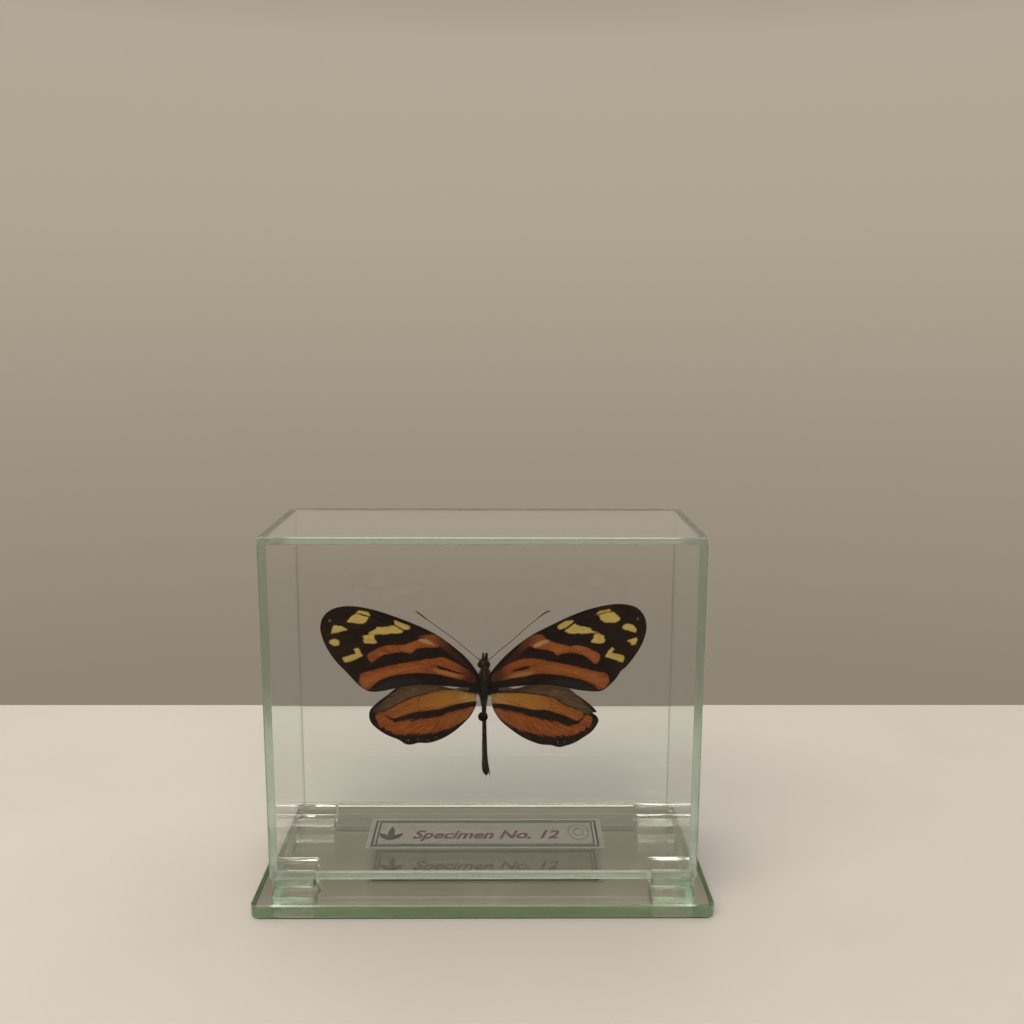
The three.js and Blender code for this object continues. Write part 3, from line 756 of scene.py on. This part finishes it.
HINDWING_VEINS = [
    [(1.5, 51.3), (10, 52.5), (19, 52.8), (26, 50.1)],
    [(1.5, 51), (10, 51.3), (19, 50), (25, 47.6), (30.6, 44.8)],
    [(17.6, 50.4), (18.8, 47.6), (16.6, 44.6)],
    [(18.4, 49.2), (24.5, 46), (31, 42.8)],
    [(18.6, 47), (25, 43.4), (30.2, 40.1)],
    [(16.6, 44.6), (22.4, 40.6), (26.4, 37.4)],
    [(1.5, 50.2), (9, 47.9), (16.6, 44.6)],
    [(14.2, 45.8), (18.4, 40.8), (22, 35.4)],
    [(9.4, 47.7), (13.4, 42), (16.8, 36)],
    [(1.5, 49.6), (6, 45.2), (10.8, 38)],
    [(1.5, 49), (3.6, 45.6), (5.6, 42.2)],
]

WING_MESH = 0.36
MEMBRANE = 0.11
COSTA_THICKENING = 0.16
# Veins stand this proud of the membrane and are about twice this wide.
VEIN_HEIGHT, VEIN_WIDTH = 0.07, 0.22
# The membrane sags this much between veins, most of it within this distance of them.
SAG, SAG_REACH = 0.16, 1.6
NOWHERE = 50.0

# The middle surface of each wing lies at root + bulge * sin(0.85 pi * share of the span), as in its
# solid. Distances and streaks on a wing start at its hinge, a height, and HINGE_OUT from the middle.
HINGE_OUT = 1.5
FOREWING_SHEET = {"root": -0.6, "bulge": -0.9, "span": 43.8, "hinge": 54.5}
HINDWING_SHEET = {"root": 0.15, "bulge": -0.4, "span": 30.6, "hinge": 50.0}
# The markings lie this much higher on the wings than their outlines say.
MARK_LIFT = 0.18
# The markings that become attributes just as they are.
PLAIN_MARKS = ("rust", "amber", "painted_sheen", "strip", "light", "glow", "pale", "butter", "khaki", "fold")
# Below this [x, z] line a hindwing's markings have ragged edges.
RAGGED_BELOW = ((2, 47), (10, 46), (18, 44.4), (25, 42.8), (34, 41))


def filled_outline(rim, spacing):
    """Even points and triangles inside a rim. The rim's own points come first."""
    low, high = rim.min(0), rim.max(0)
    rows = []
    for index, z in enumerate(np.arange(low[1], high[1], spacing * 0.866)):
        xs = np.arange(low[0] + (index % 2) * spacing / 2, high[0], spacing)
        rows.append(np.column_stack([xs, np.full(len(xs), z)]))
    grid = np.concatenate(rows)
    grid = grid[inside_of(grid, rim)]
    grid = grid[distance_to_path(grid, rim, True) > spacing * 0.6]
    points = np.concatenate([rim, grid])
    ties = [(k, (k + 1) % len(rim)) for k in range(len(rim))]
    result = delaunay_2d_cdt([Vector(p) for p in points], ties, [], 1, 1e-6)
    return np.array([tuple(v) for v in result[0]]), [tuple(f) for f in result[2]]


def nearest_line(points, lines, spacing=1.0):
    """Each point's distance to the nearest of several open lines."""
    nearest = np.full(len(points), NOWHERE)
    for line in lines:
        path = smooth_loop(line, spacing, closed=False)
        nearest = np.minimum(nearest, distance_to_path(points, path, False))
    return nearest


def depth_inside(points, loops):
    """How far each point lies inside the nearest of several loops, in mm; outside is negative."""
    deepest = np.full(len(points), -NOWHERE)
    for loop in loops:
        edge = distance_to_path(points, loop, True)
        deepest = np.maximum(deepest, np.where(inside_of(points, loop), edge, -edge))
    return deepest


def make_wing(name, outline, veins, sheet, material):
    """A wing: a thin membrane stretched between raised veins, with its markings as distances in mm."""
    side = -1 if name.endswith("left") else 1
    rim = smooth_loop(outline, WING_MESH)
    points, triangles = filled_outline(rim, WING_MESH)
    count = len(points)
    away = points - (side * HINGE_OUT, sheet["hinge"])
    reach = np.linalg.norm(away, axis=1)
    angle = np.arctan2(away[:, 1], side * away[:, 0] + 1.0)
    vein = nearest_line(points, [[(side * x, z) for x, z in line] for line in veins], 1.5)
    edge = distance_to_path(points, rim, True)

    # The membrane sags between the veins and ripples towards the margin.
    ridge = VEIN_HEIGHT * np.exp(-((vein / VEIN_WIDTH) ** 2))
    sag = SAG * (1 - np.exp(-vein / SAG_REACH))
    ripple = 0.1 * np.sin(reach * 0.55 + 9 * angle) + 0.12 * np.sin(7 * angle + reach * 0.12)
    fade = np.clip(reach / 6, 0, 1) * np.clip(edge / 1.5, 0.2, 1)
    out = np.clip((np.abs(points[:, 0]) - HINGE_OUT) / sheet["span"], 0, 1)
    middle = sheet["root"] + sheet["bulge"] * np.sin(math.pi * 0.85 * out) + (sag + ripple) * fade
    thickness = MEMBRANE + COSTA_THICKENING * np.exp(-((edge / 0.35) ** 2)) * np.exp(-reach / 25)
    front = np.column_stack([points[:, 0], middle - thickness / 2 - ridge, points[:, 1]])
    back = np.column_stack([points[:, 0], middle + thickness / 2 + 0.6 * ridge, points[:, 1]])
    faces = []
    for a, b, c in triangles:
        p, q, r = points[a], points[b], points[c]
        if (q[0] - p[0]) * (r[1] - p[1]) < (q[1] - p[1]) * (r[0] - p[0]):
            b, c = c, b
        faces += [(a, b, c), (count + a, count + c, count + b)]
    after = np.roll(rim, -1, axis=0)
    anticlockwise = (rim[:, 0] * after[:, 1] - after[:, 0] * rim[:, 1]).sum() > 0
    for k in range(len(rim)):
        a, b = k, (k + 1) % len(rim)
        if not anticlockwise:
            a, b = b, a
        faces.append((a, count + a, count + b, b))
    shape = (np.concatenate([front, back]), faces)
    piece = make_piece(name.replace("wing", "_wing"), shape, material, name, 50)

    marks = MARKINGS[name]
    printed = points - (0, MARK_LIFT)

    def depth(kind):
        """How far each point lies inside the rounded markings of a kind."""
        return depth_inside(printed, [smooth_loop(loop, 0.5) for loop in marks.get(kind, [])])

    dots = np.full(count, -NOWHERE)
    for x, z, radius in marks["dots"]:
        dots = np.maximum(dots, radius - np.linalg.norm(printed - (x, z), axis=1))
    spots = depth_inside(printed, [np.array(loop) for loop in marks.get("spots", [])])
    below = np.interp(np.abs(points[:, 0]), *np.transpose(RAGGED_BELOW)) - points[:, 1]
    ragged = np.clip(0.5 + below, 0, 1) if name.startswith("hind") else np.ones(count)
    values = {kind: depth(kind) for kind in PLAIN_MARKS}
    values["spots"] = np.minimum(spots, nearest_line(printed, marks.get("cuts", [])) - 0.1)
    values["bands"] = np.minimum(depth("bands"), -depth("wedge"))
    values |= {"dots": dots, "veins": vein, "reach": reach, "ragged": 0.2 + 0.8 * ragged}
    for key, data in values.items():
        set_attribute(piece, key, np.tile(data, 2))
    # Marks the underside, which the material darkens as painted shade.
    set_attribute(piece, "under", np.repeat((0.0, 1.0), count))
    # Streaks of scales run along rays from the hinge: x goes round it, and y away from it.
    rays = np.column_stack([angle * 26, reach, np.zeros(count)])
    set_attribute(piece, "rays", np.tile(rays, (2, 1)), "FLOAT_VECTOR")


def wing_material(name, oranges, blacks, stray_mm, run_mm, shaded_root):
    """Dry wing scales: matt dust in rows, its colours set by the pigment each scale holds, with painted
    sheen and shade.

    stray_mm is how far single scales stray over a marking's edge, run_mm how far streaks of them
    run over it along the wing's rays, and shaded_root the distances over which the root clears up.
    """
    material, tree = new_material(name)
    # Scales are 0.1 mm wide; the dust is drawn at 0.22 mm so that it shows.
    dust = clouds(tree, 0.22, 2)
    patch = clouds(tree, 2.6, 3)
    rays = add_node(tree, "Attribute", output="Vector", attribute_name="rays")
    drawn = add_node(tree, "Mapping", {"Vector": rays, "Scale": (1, 0.12, 1)})
    streaks = add_node(tree, "TexNoise", {"Vector": drawn, "Scale": 1.9, "Detail": 3})

    def eased(value, low, high, to_low=0.0, to_high=1.0):
        """Goes smoothly from to_low to to_high as an attribute or a pattern goes from low to high."""
        if isinstance(value, str):
            value = add_node(tree, "Attribute", output="Fac", attribute_name=value)
        return add_node(tree, "MapRange", (value, low, high, to_low, to_high), **SMOOTH)

    stray = eased(dust, NOISE_LOW, NOISE_HIGH, -stray_mm, stray_mm)
    run = eased(streaks, NOISE_LOW, NOISE_HIGH, -run_mm, run_mm)
    frayed = add_node(tree, "Math", (stray, eased(streaks, NOISE_LOW, NOISE_HIGH, -0.16, 0.16)))
    ragged = add_node(tree, "Attribute", output="Fac", attribute_name="ragged")
    both = add_node(tree, "Math", (stray, run))
    wander = add_node(tree, "Math", (both, ragged), operation="MULTIPLY")

    def region(key, soft, strength=1.0, rough=wander):
        """strength inside the marking called key, 0 outside, over an edge of soft mm."""
        mark = add_node(tree, "Attribute", output="Fac", attribute_name=key)
        return eased(add_node(tree, "Math", (mark, rough)), -soft, soft, 0.0, strength)

    vein_line = eased("veins", 0.05, 0.2, 0.5, 0.0)
    rust = painted(
        tree,
        "1d110c",
        (eased("reach", 3, 9), "522618"),
        (eased("reach", 11, 18), "ab6230"),
        (eased(streaks, 0.35, 0.65, 0, 0.6), "2c140d"),
    )
    strip = painted(
        tree,
        "4a3424",
        (streaks, "9c7c5f"),
        (eased(patch, 0.5, 0.75, 0, 0.5), "94805f"),
        (eased("reach", 24, 31, 0, 0.7), "2e2018"),
        (eased("reach", 6, 13, 0.8, 0), "2b1a13"),
        (vein_line, "1f1511"),
    )
    # Worn and fresh streaks, the paler parts of the bands, the veins and the shade at the root.
    orange = painted(
        tree,
        oranges[0],
        (patch, oranges[1]),
        (eased(streaks, 0.42, 0.62, 0, 0.5), "7a3616"),
        (eased(streaks, 0.45, 0.3, 0, 0.45), "c98a50"),
        (region("light", 1.2, 0.8), "cb7a3c"),
        (region("amber", 1.0, eased("reach", 5, 27, 0.8, 0.1)), "d99440"),
        (region("khaki", 1.4, 0.4), "a87440"),
        (region("butter", 1.6, 0.7), "dfb868"),
        (region("glow", 0.35, 0.85), "d99350"),
        (region("pale", 0.35, 0.9), "e6b878"),
        (vein_line, "2e1509"),
        (eased("reach", *shaded_root, 0.85, 0), "3a1c12"),
    )
    yellow = painted(tree, "f4cc5c", (patch, "f8e08a"))
    yellow = painted(tree, "cfa24a", (region("spots", 0.2, 1.0, -0.1), yellow))
    # The whole wing. The last coat is painted shade: it darkens the underside towards brown, where the
    # wings' backs lie out of the light.
    colour = painted(
        tree,
        blacks[0],
        (patch, blacks[1]),
        (eased("reach", 28, 44, 0, 0.55), "3a2414"),
        # Painted sheen: a blue-grey cast of reflected light over the dark trailing band.
        (region("painted_sheen", 0.9, 0.5), "3a3734"),
        (region("rust", 0.4), rust),
        (region("strip", 0.5), strip),
        (region("fold", 0.3, 0.75), "92868c"),
        (region("bands", 0.16), orange),
        (region("spots", 0.1, 1.0, frayed), yellow),
        (region("dots", 0.12, 0.8, stray), "9c9384"),
        (eased("under", 0.4, 0.6, 0, 0.6), "4a3a2c"),
    )
    grain = eased(dust, NOISE_LOW, NOISE_HIGH, 0.85, 1.12)
    shader = {
        "Base Color": add_node(tree, "VectorMath", {0: colour, "Scale": grain}, operation="SCALE"),
        "Roughness": eased(dust, NOISE_LOW, NOISE_HIGH, 0.55, 0.75),
        "Specular IOR Level": 0.25,
        "Sheen Weight": 0.04,
        "Sheen Roughness": 0.4,
        "Normal": add_node(tree, "Bump", {"Height": dust, "Distance": 0.02 * MM, "Strength": 0.6}),
    }
    finish_material(tree, shader)
    return material


FOREWING_TONES = (("b25821", "ca7030"), ("140a05", "2c190e"))
HINDWING_TONES = (("b75d24", "cb7632"), ("180f09", "332519"))
forewing_scales = wing_material("forewing_scales", *FOREWING_TONES, 0.1, 0.12, (2.4, 8.0))
hindwing_scales = wing_material("hindwing_scales", *HINDWING_TONES, 0.12, 0.55, (0.1, 0.4))
make_wing("forewing_left", FOREWING_LEFT, FOREWING_VEINS, FOREWING_SHEET, forewing_scales)
make_wing("forewing_right", FOREWING_RIGHT, FOREWING_VEINS, FOREWING_SHEET, forewing_scales)
make_wing("hindwing_left", HINDWING_LEFT, HINDWING_VEINS, HINDWING_SHEET, hindwing_scales)
make_wing("hindwing_right", HINDWING_RIGHT, HINDWING_VEINS, HINDWING_SHEET, hindwing_scales)

# ---- Body ----

# [half width, height, how far right its middle lies], from the abdomen's tip to the crown of the head.
BODY_PROFILE = [
    (0.02, 26.4, 0.4), (0.25, 26.5, 0.4), (0.5, 26.8, 0.36), (0.78, 27.3, 0.32), (0.98, 28.1, 0.26),
    (1.01, 29, 0.18), (0.94, 30, 0.1), (0.77, 32, 0.02), (0.73, 34.4, -0.06), (0.66, 37, -0.08),
    (0.6, 40.2, -0.1), (0.58, 42.5, -0.14), (0.6, 44.4, -0.17), (0.64, 46, -0.2),
    (0.76, 47.2, -0.21), (1, 48.6, -0.24), (1.2, 49.6, -0.26), (1.4, 50.6, -0.25), (1.45, 51.6, -0.25),
    (1.5, 53, -0.22), (1.5, 55.5, -0.12), (1.45, 56.6, 0), (1.25, 57.3, 0.1), (1.05, 57.9, 0.05),
    (1.3, 59.1, -0.25), (1.2, 60, -0.2), (0.85, 60.7, -0.15), (0.04, 61, -0.1),
]
# Heights on the trunk, and where its middle line lies at the thorax.
TAIL = 26
THORAX_BOTTOM = 50
WAIST = 50.3
THORAX_HEIGHT = 54
THORAX_MIDDLE = -0.2
SEGMENT = 2.3
BODY_STEP = 0.16
BODY_SIDES = 40


def body_surface(z, angle):
    """Points and outward directions on the trunk at heights z and angles round it."""
    half_width, height, middle = smooth_loop(BODY_PROFILE, 0.3, closed=False).T
    radius = np.interp(z, height, half_width)
    on_abdomen = np.clip((THORAX_BOTTOM - z) / 2, 0, 1)
    joint = np.abs(np.sin(math.pi * (z - TAIL) / SEGMENT))
    radius = radius * (1 - 0.09 * on_abdomen * (1 - joint) ** 3)
    lumps = np.sin(3 * angle + 1.3 * z) * np.sin(2 * angle - 0.9 * z + 1)
    radius = radius * (1 + 0.05 * lumps) * (1 - 0.16 * np.exp(-(((z - WAIST) / 0.22) ** 2)))
    deepening = np.exp(-(((z - THORAX_HEIGHT) / 4) ** 2))
    x = np.interp(z, height, middle) + radius * np.cos(angle)
    y = 0.5 + 0.1 * deepening + radius * np.sin(angle) * (1.02 + 0.3 * deepening)
    outward = np.column_stack([np.cos(angle), np.sin(angle), np.zeros(len(z))])
    return np.column_stack([x, y, z]), outward


def routed(route, spacing):
    """A smooth open path, and how far along it each of its points comes, from 0 to 1."""
    path = smooth_loop(route, spacing, closed=False)
    return path, np.linspace(0, 1, len(path))


levels = np.arange(BODY_PROFILE[0][1], BODY_PROFILE[-1][1], BODY_STEP)
trunk = [body_surface(np.full(BODY_SIDES, z), turns(BODY_SIDES))[0] for z in levels]
shape = (np.concatenate(trunk), closed_rings(len(levels), BODY_SIDES))
make_piece("butterfly_body", shape, chitin, "body")

eyes = [ball((THORAX_MIDDLE + side * 0.93, 0.1, 59.2), (0.92, 0.9, 0.95), 18, 24) for side in (-1, 1)]
make_piece("butterfly_eyes", joined(eyes), eye_skin)

# Each palp as [thickness, its route].
PALPS = (
    (0.36, [(-0.42, 0.1, 60.1), (-0.4, -0.5, 61.5), (-0.38, -0.7, 63)]),
    (0.5, [(0.2, 0.1, 60.1), (0.45, -0.5, 61.5), (0.6, -0.7, 62.9)]),
)
COILS = 2.3
COIL_STEPS = 90
mouth = []
for thickness, route in PALPS:
    path, share = routed(route, 0.12)
    end = np.sqrt(np.clip(1 - ((share - 0.85) / 0.15).clip(0, 0.999) ** 2, 0, 1))
    mouth.append(swept(path, thickness * (1 - 0.2 * share) * end, 14))
spiral = []
for turn in np.linspace(0, COILS * TURN, COIL_STEPS):
    coil = 0.25 + 0.045 * turn
    spiral.append((THORAX_MIDDLE, 1.2 + coil * math.cos(turn), 60.3 + coil * math.sin(turn)))
mouth.append(swept(spiral, np.linspace(0.07, 0.12, COIL_STEPS), 8))
make_piece("butterfly_palps", joined(mouth), hair_skin)

# A hair has three corners at its root, three at its knee and one at its tip.
HAIR_CORNERS = (0, 2.1, 4.2)
HAIR_FACES = [(0, 1, 4, 3), (1, 2, 5, 4), (2, 0, 3, 5), (3, 4, 6), (4, 5, 6), (5, 3, 6)]


def hairs(count, z_range, length, lean, thickness=0.035):
    """Three-sided bent hairs that grow out of the trunk, leaning towards the tail."""
    z = draw.uniform(*z_range, count)
    angle = draw.uniform(0, TURN, count)
    parts = []
    for root, out in zip(*body_surface(z, angle)):
        size = draw.uniform(*length)
        aim = unit(out + np.array([0, 0, -lean * draw.uniform(0.6, 1.4)]) + draw.normal(0, 0.22, 3))
        side = unit(np.cross(aim, (0.3, 0.2, 0.9)))
        front = np.cross(aim, side)
        corners = [thickness * (math.cos(a) * side + math.sin(a) * front) for a in HAIR_CORNERS]
        knee = root + aim * size * 0.6
        tip = knee + (aim + np.array([0, 0, -0.5 * lean])) * size * 0.4
        lower = [root - out * 0.08 + corner for corner in corners]
        upper = [knee + 0.6 * corner for corner in corners]
        parts.append((np.array([*lower, *upper, tip]), HAIR_FACES))
    return parts


def tufts(count, spread, side):
    """Soft hairs that lie outwards over a wing's root. spread is ((x, x), (z, z)) in mm."""
    (low_x, high_x), (low_z, high_z) = spread
    parts = []
    for _ in range(count):
        away = draw.uniform(0, 1) ** 1.4
        x = side * (low_x + (high_x - low_x) * away)
        z = draw.uniform(low_z + 0.9 * away, high_z - 0.3 * away)
        aim = np.array([side * draw.uniform(0.5, 1), draw.uniform(-0.35, -0.05), draw.uniform(-0.9, 0.1)])
        start = np.array([x - side * 0.4, draw.uniform(-0.95, -0.72), z])
        size = draw.uniform(0.5, 1.1)
        route = [start, start + aim * size * 0.5, start + aim * size + (0, 0.12, -0.15 * size)]
        parts.append(swept(route, [0.045, 0.035, 0.012], 3))
    return parts


TIP_BRISTLES = (
    [(0.95, 0.3, 29.3), (1.3, 0.05, 27.4), (1.42, 0, 25.8)],
    [(1.15, 0.2, 28.6), (1.4, 0, 27.5), (1.5, -0.1, 26.6)],
    [(0.5, 0.4, 27), (0.4, 0.2, 26.3), (0.3, 0.1, 25.9)],
)
# In order: thorax, head, abdomen, the tufts over the wings' roots, the bristles at the tail.
fur = hairs(2000, (50.2, 58), (0.3, 0.7), 0.8)
fur += hairs(420, (58, 60.9), (0.2, 0.45), -0.5)
fur += hairs(1100, (26.7, 50.5), (0.14, 0.28), 1.6, thickness=0.028)
fur += tufts(420, ((1.2, 3.9), (50.9, 53.4)), 1)
fur += tufts(420, ((1.3, 4.2), (50.9, 53.4)), -1)
fur += [swept(bristle, [0.1, 0.08, 0.03], 6) for bristle in TIP_BRISTLES]
make_piece("butterfly_hair", joined(fur), hair_skin)

# ---- Antennae and legs ----

ANTENNAE = {
    "left": [(-0.8, -0.5, 60.3), (-1.5, -0.8, 61), (-4.9, -1.2, 64), (-8.7, -1.4, 67.3), (-13.6, -1.5, 71),
             (-19, -1.4, 75.1)],
    "right": [(0.5, -0.5, 60.2), (1.1, -0.8, 60.8), (3.5, -1.2, 63.1), (6.8, -1.3, 65.9), (12.3, -1.5, 71),
              (16.7, -1.5, 74.6), (17.5, -1.5, 75), (18.2, -1.4, 74.8)],
}
for side_name, route in ANTENNAE.items():
    path, share = routed(route, 0.1)
    club = np.clip((share - 0.78) / 0.14, 0, 1)
    end = np.clip((1 - share) / 0.03, 0.2, 1) ** 0.5
    rings = 0.012 * np.abs(np.sin(np.arange(len(path)) * 0.9))
    radii = (0.085 + 0.115 * club * club * (3 - 2 * club) + rings) * end
    shape = swept(path, radii, 10)
    make_piece(f"feeler_{side_name}", shape, antenna_skin, f"antenna_{side_name}")

# [distance out from the middle line, y, z], from the hip over the knee to the claws.
LEGS = {
    "leg_middle": [(0.55, 2.5, 54.9), (0.6, 2.95, 54.6), (1.15, 3.2, 52.6), (1.05, 3.75, 53.6),
                   (0.8, 3.6, 56.6)],
    "leg_hind": [(0.5, 2.3, 52.6), (0.5, 2.75, 52.4), (0.95, 2.95, 50.3), (0.55, 3.6, 49.2),
                 (0.45, 4.1, 52.2)],
}
for leg_name, joints in LEGS.items():
    for side_name, side in (("left", -1), ("right", 1)):
        path, share = routed([(THORAX_MIDDLE + side * out, y, z) for out, y, z in joints], 0.12)
        swell = 0.05 * np.exp(-(((share - 0.3) / 0.18) ** 2))
        radii = (0.17 + swell - 0.1 * share) * np.clip((1 - share) / 0.04, 0.3, 1)
        node = f"{leg_name}_{side_name}"
        make_piece(f"{node}_shaped", swept(path, radii, 10), leg_skin, node)

# ---- Pin and glue ----

head_low, head_high = box_mm("pin_head")
head_middle = (head_low + head_high) / 2
head_radius = (head_high[0] - head_low[0]) / 2
head_centre = np.array([head_middle[0], head_low[1] + head_radius, head_middle[2]])
# The bead is a little lumpy, smaller at the top and wider than it is high.
vertices, faces = ball((0, 0, 0), (1, 1, 1), 26, 36)
lumps = np.sin(4.1 * vertices[:, 0] + 1) * np.sin(3.6 * vertices[:, 2] + 0.9)
lumps = 0.96 + 0.05 * lumps - 0.03 * vertices[:, 2]
vertices = vertices * (1.05, 1, 0.96) * (lumps * head_radius)[:, None] + head_centre
make_piece("pin_ball", (vertices, faces), bead_paint, "pin_head")

# The wire starts a little inside the ball and ends in a point.
shaft_low, shaft_high = box_mm("pin_shaft")
shaft_x, _, shaft_z = (shaft_low + shaft_high) / 2
shaft_radius = (shaft_high[0] - shaft_low[0]) / 2
stations = [shaft_low[1] - 0.2, *np.linspace(shaft_low[1], shaft_high[1] - 1.2, 6)]
stations += [shaft_high[1] - 0.4, shaft_high[1]]
radii = [shaft_radius] * (len(stations) - 2) + [shaft_radius * 0.6, shaft_radius * 0.12]
shape = swept([(shaft_x, y, shaft_z) for y in stations], radii, 16)
make_piece("pin_wire", shape, steel, "pin_shaft", 40)

# The dab is a low, uneven dome on the back pane.
DAB_RINGS = 15
DAB_SIDES = 40
dab_low, dab_high = box_mm("glue_dab")
dab_middle = (dab_low + dab_high) / 2
dab_radius = (dab_high[0] - dab_low[0]) / 2 * 0.97
around = turns(DAB_SIDES)
uneven = 1 + 0.07 * np.sin(2 * around + 0.7) + 0.04 * np.sin(5 * around)
rings = []
for share in np.linspace(0, 1, DAB_RINGS):
    reach = max(dab_radius * math.sin(share * math.pi / 2), 0.02) * uneven
    height = (dab_high[1] - dab_low[1] - 0.05) * max(math.cos(share * math.pi / 2), 0) ** 0.8
    x = dab_middle[0] + reach * np.cos(around)
    z = dab_middle[2] + reach * np.sin(around)
    rings.append(np.column_stack([x, np.full(DAB_SIDES, dab_high[1] - 0.03 - height), z]))
shape = (np.concatenate(rings), closed_rings(DAB_RINGS, DAB_SIDES))
make_piece("glue_blob", shape, clear_glue, "glue_dab", 40)

# ---- Stage, light and camera ----

# The floor is a strip, because the front pane mirrors what lies further out in front of it.
FLOOR_FRONT, FLOOR_BACK = -82, 127.5
FLOOR_SIDE = 1500
corners = [(-1, FLOOR_FRONT), (1, FLOOR_FRONT), (1, FLOOR_BACK), (-1, FLOOR_BACK)]
floor_mesh = bpy.data.meshes.new("floor")
floor_mesh.from_pydata([(x * FLOOR_SIDE * MM, y * MM, 0) for x, y in corners], [], [(0, 1, 2, 3)])
floor_mesh.materials.append(floor_paint)
add_object("floor", floor_mesh)

# The studio round the table, as [sine of the height above the horizon, colour]: a warm grey wall, in
# shade below the table, with a dark and a light band higher up, under a wide white ceiling.
WALL_TONES = ((-1.0, "8a8072"), (-0.3, "8f8577"), (-0.1, "9f9484"), (0.1, "b0a492"), (0.25, "b3a797"),
              (0.4, "847a6e"), (0.47, "867c70"), (0.53, "b6a99c"), (0.64, "b6a99c"), (0.8, "ffffff"))
world = bpy.data.worlds.new("soft_studio")
world.use_nodes = True
sky = world.node_tree
sky.nodes.clear()
direction = add_node(sky, "TexCoord", output="Generated")
upward = add_node(sky, "SeparateXYZ", (direction,), "Z")
backward = add_node(sky, "SeparateXYZ", (direction,), "Y")
share = add_node(sky, "Math", (add_node(sky, "Math", (upward, 0.5), operation="MULTIPLY"), 0.5))
wall = add_node(sky, "ValToRGB", (share,))
stops = wall.node.color_ramp.elements
while len(stops) < len(WALL_TONES):
    stops.new(0.5)
for stop, (sine, tone) in zip(stops, WALL_TONES):
    stop.position = (sine + 1) / 2
    stop.color = srgb(tone)
# The room in front of the table, below the table's level, is in shade.
ahead = add_node(sky, "MapRange", (backward, -0.75, -0.45, 1.0, 0.0), **SMOOTH)
below = add_node(sky, "MapRange", (upward, -0.26, -0.14, 1.0, 0.0), **SMOOTH)
shade = add_node(sky, "Math", (ahead, below), operation="MULTIPLY")
glow = add_node(sky, "Background", {"Color": painted(sky, wall, (shade, "3e3933")), "Strength": 1.0})
add_node(sky, "OutputWorld", {"Surface": glow})
bpy.context.scene.world = world

# [name, place, target, (width, depth), watts, colour]
LAMPS = (
    ("overhead_softbox", (-100, 420, 850), (0, 0, 0), (1500, 1000), 3.9, "fff8ee"),
    ("front_softbox", (-240, -560, 820), (0, 0, 60), (1200, 480), 6.6, "fff6ea"),
)
for name, place, target, size, watts, colour in LAMPS:
    lamp = bpy.data.lights.new(name, "AREA")
    lamp.shape = "RECTANGLE"
    lamp.size, lamp.size_y = size[0] * MM, size[1] * MM
    lamp.energy = watts
    lamp.color = srgb(colour)[:3]
    holder = add_object(name, lamp)
    holder.location = Vector(place) * MM
    holder.rotation_euler = (Vector(target) - Vector(place)).to_track_quat("-Z", "Y").to_euler()

# Edges of clear glass hold light for many bounces.
light_paths = bpy.context.scene.cycles
light_paths.max_bounces = 24
light_paths.glossy_bounces = 20
light_paths.transmission_bounces = 24

CAMERA_PLACE = (4.94, -279.71, 150.68)
CAMERA_YAW = -0.00915
CAMERA_PITCH = 0.17147
CAMERA_ROLL = 0.00317
FOCAL_PIXELS = 1043.45
FRAME_PIXELS = 1024
camera = bpy.data.cameras.new("camera")
camera.sensor_width = 36
camera.lens = FOCAL_PIXELS / FRAME_PIXELS * camera.sensor_width
camera.clip_start = 0.01
eye_point = add_object("camera", camera)
eye_point.matrix_world = (
    Matrix.Translation(Vector(CAMERA_PLACE) * MM)
    @ Matrix.Rotation(CAMERA_YAW, 4, "Z")
    @ Matrix.Rotation(math.pi / 2 - CAMERA_PITCH, 4, "X")
    @ Matrix.Rotation(CAMERA_ROLL, 4, "Z")
)
bpy.context.scene.camera = eye_point
bpy.context.scene.view_settings.view_transform = "Standard"
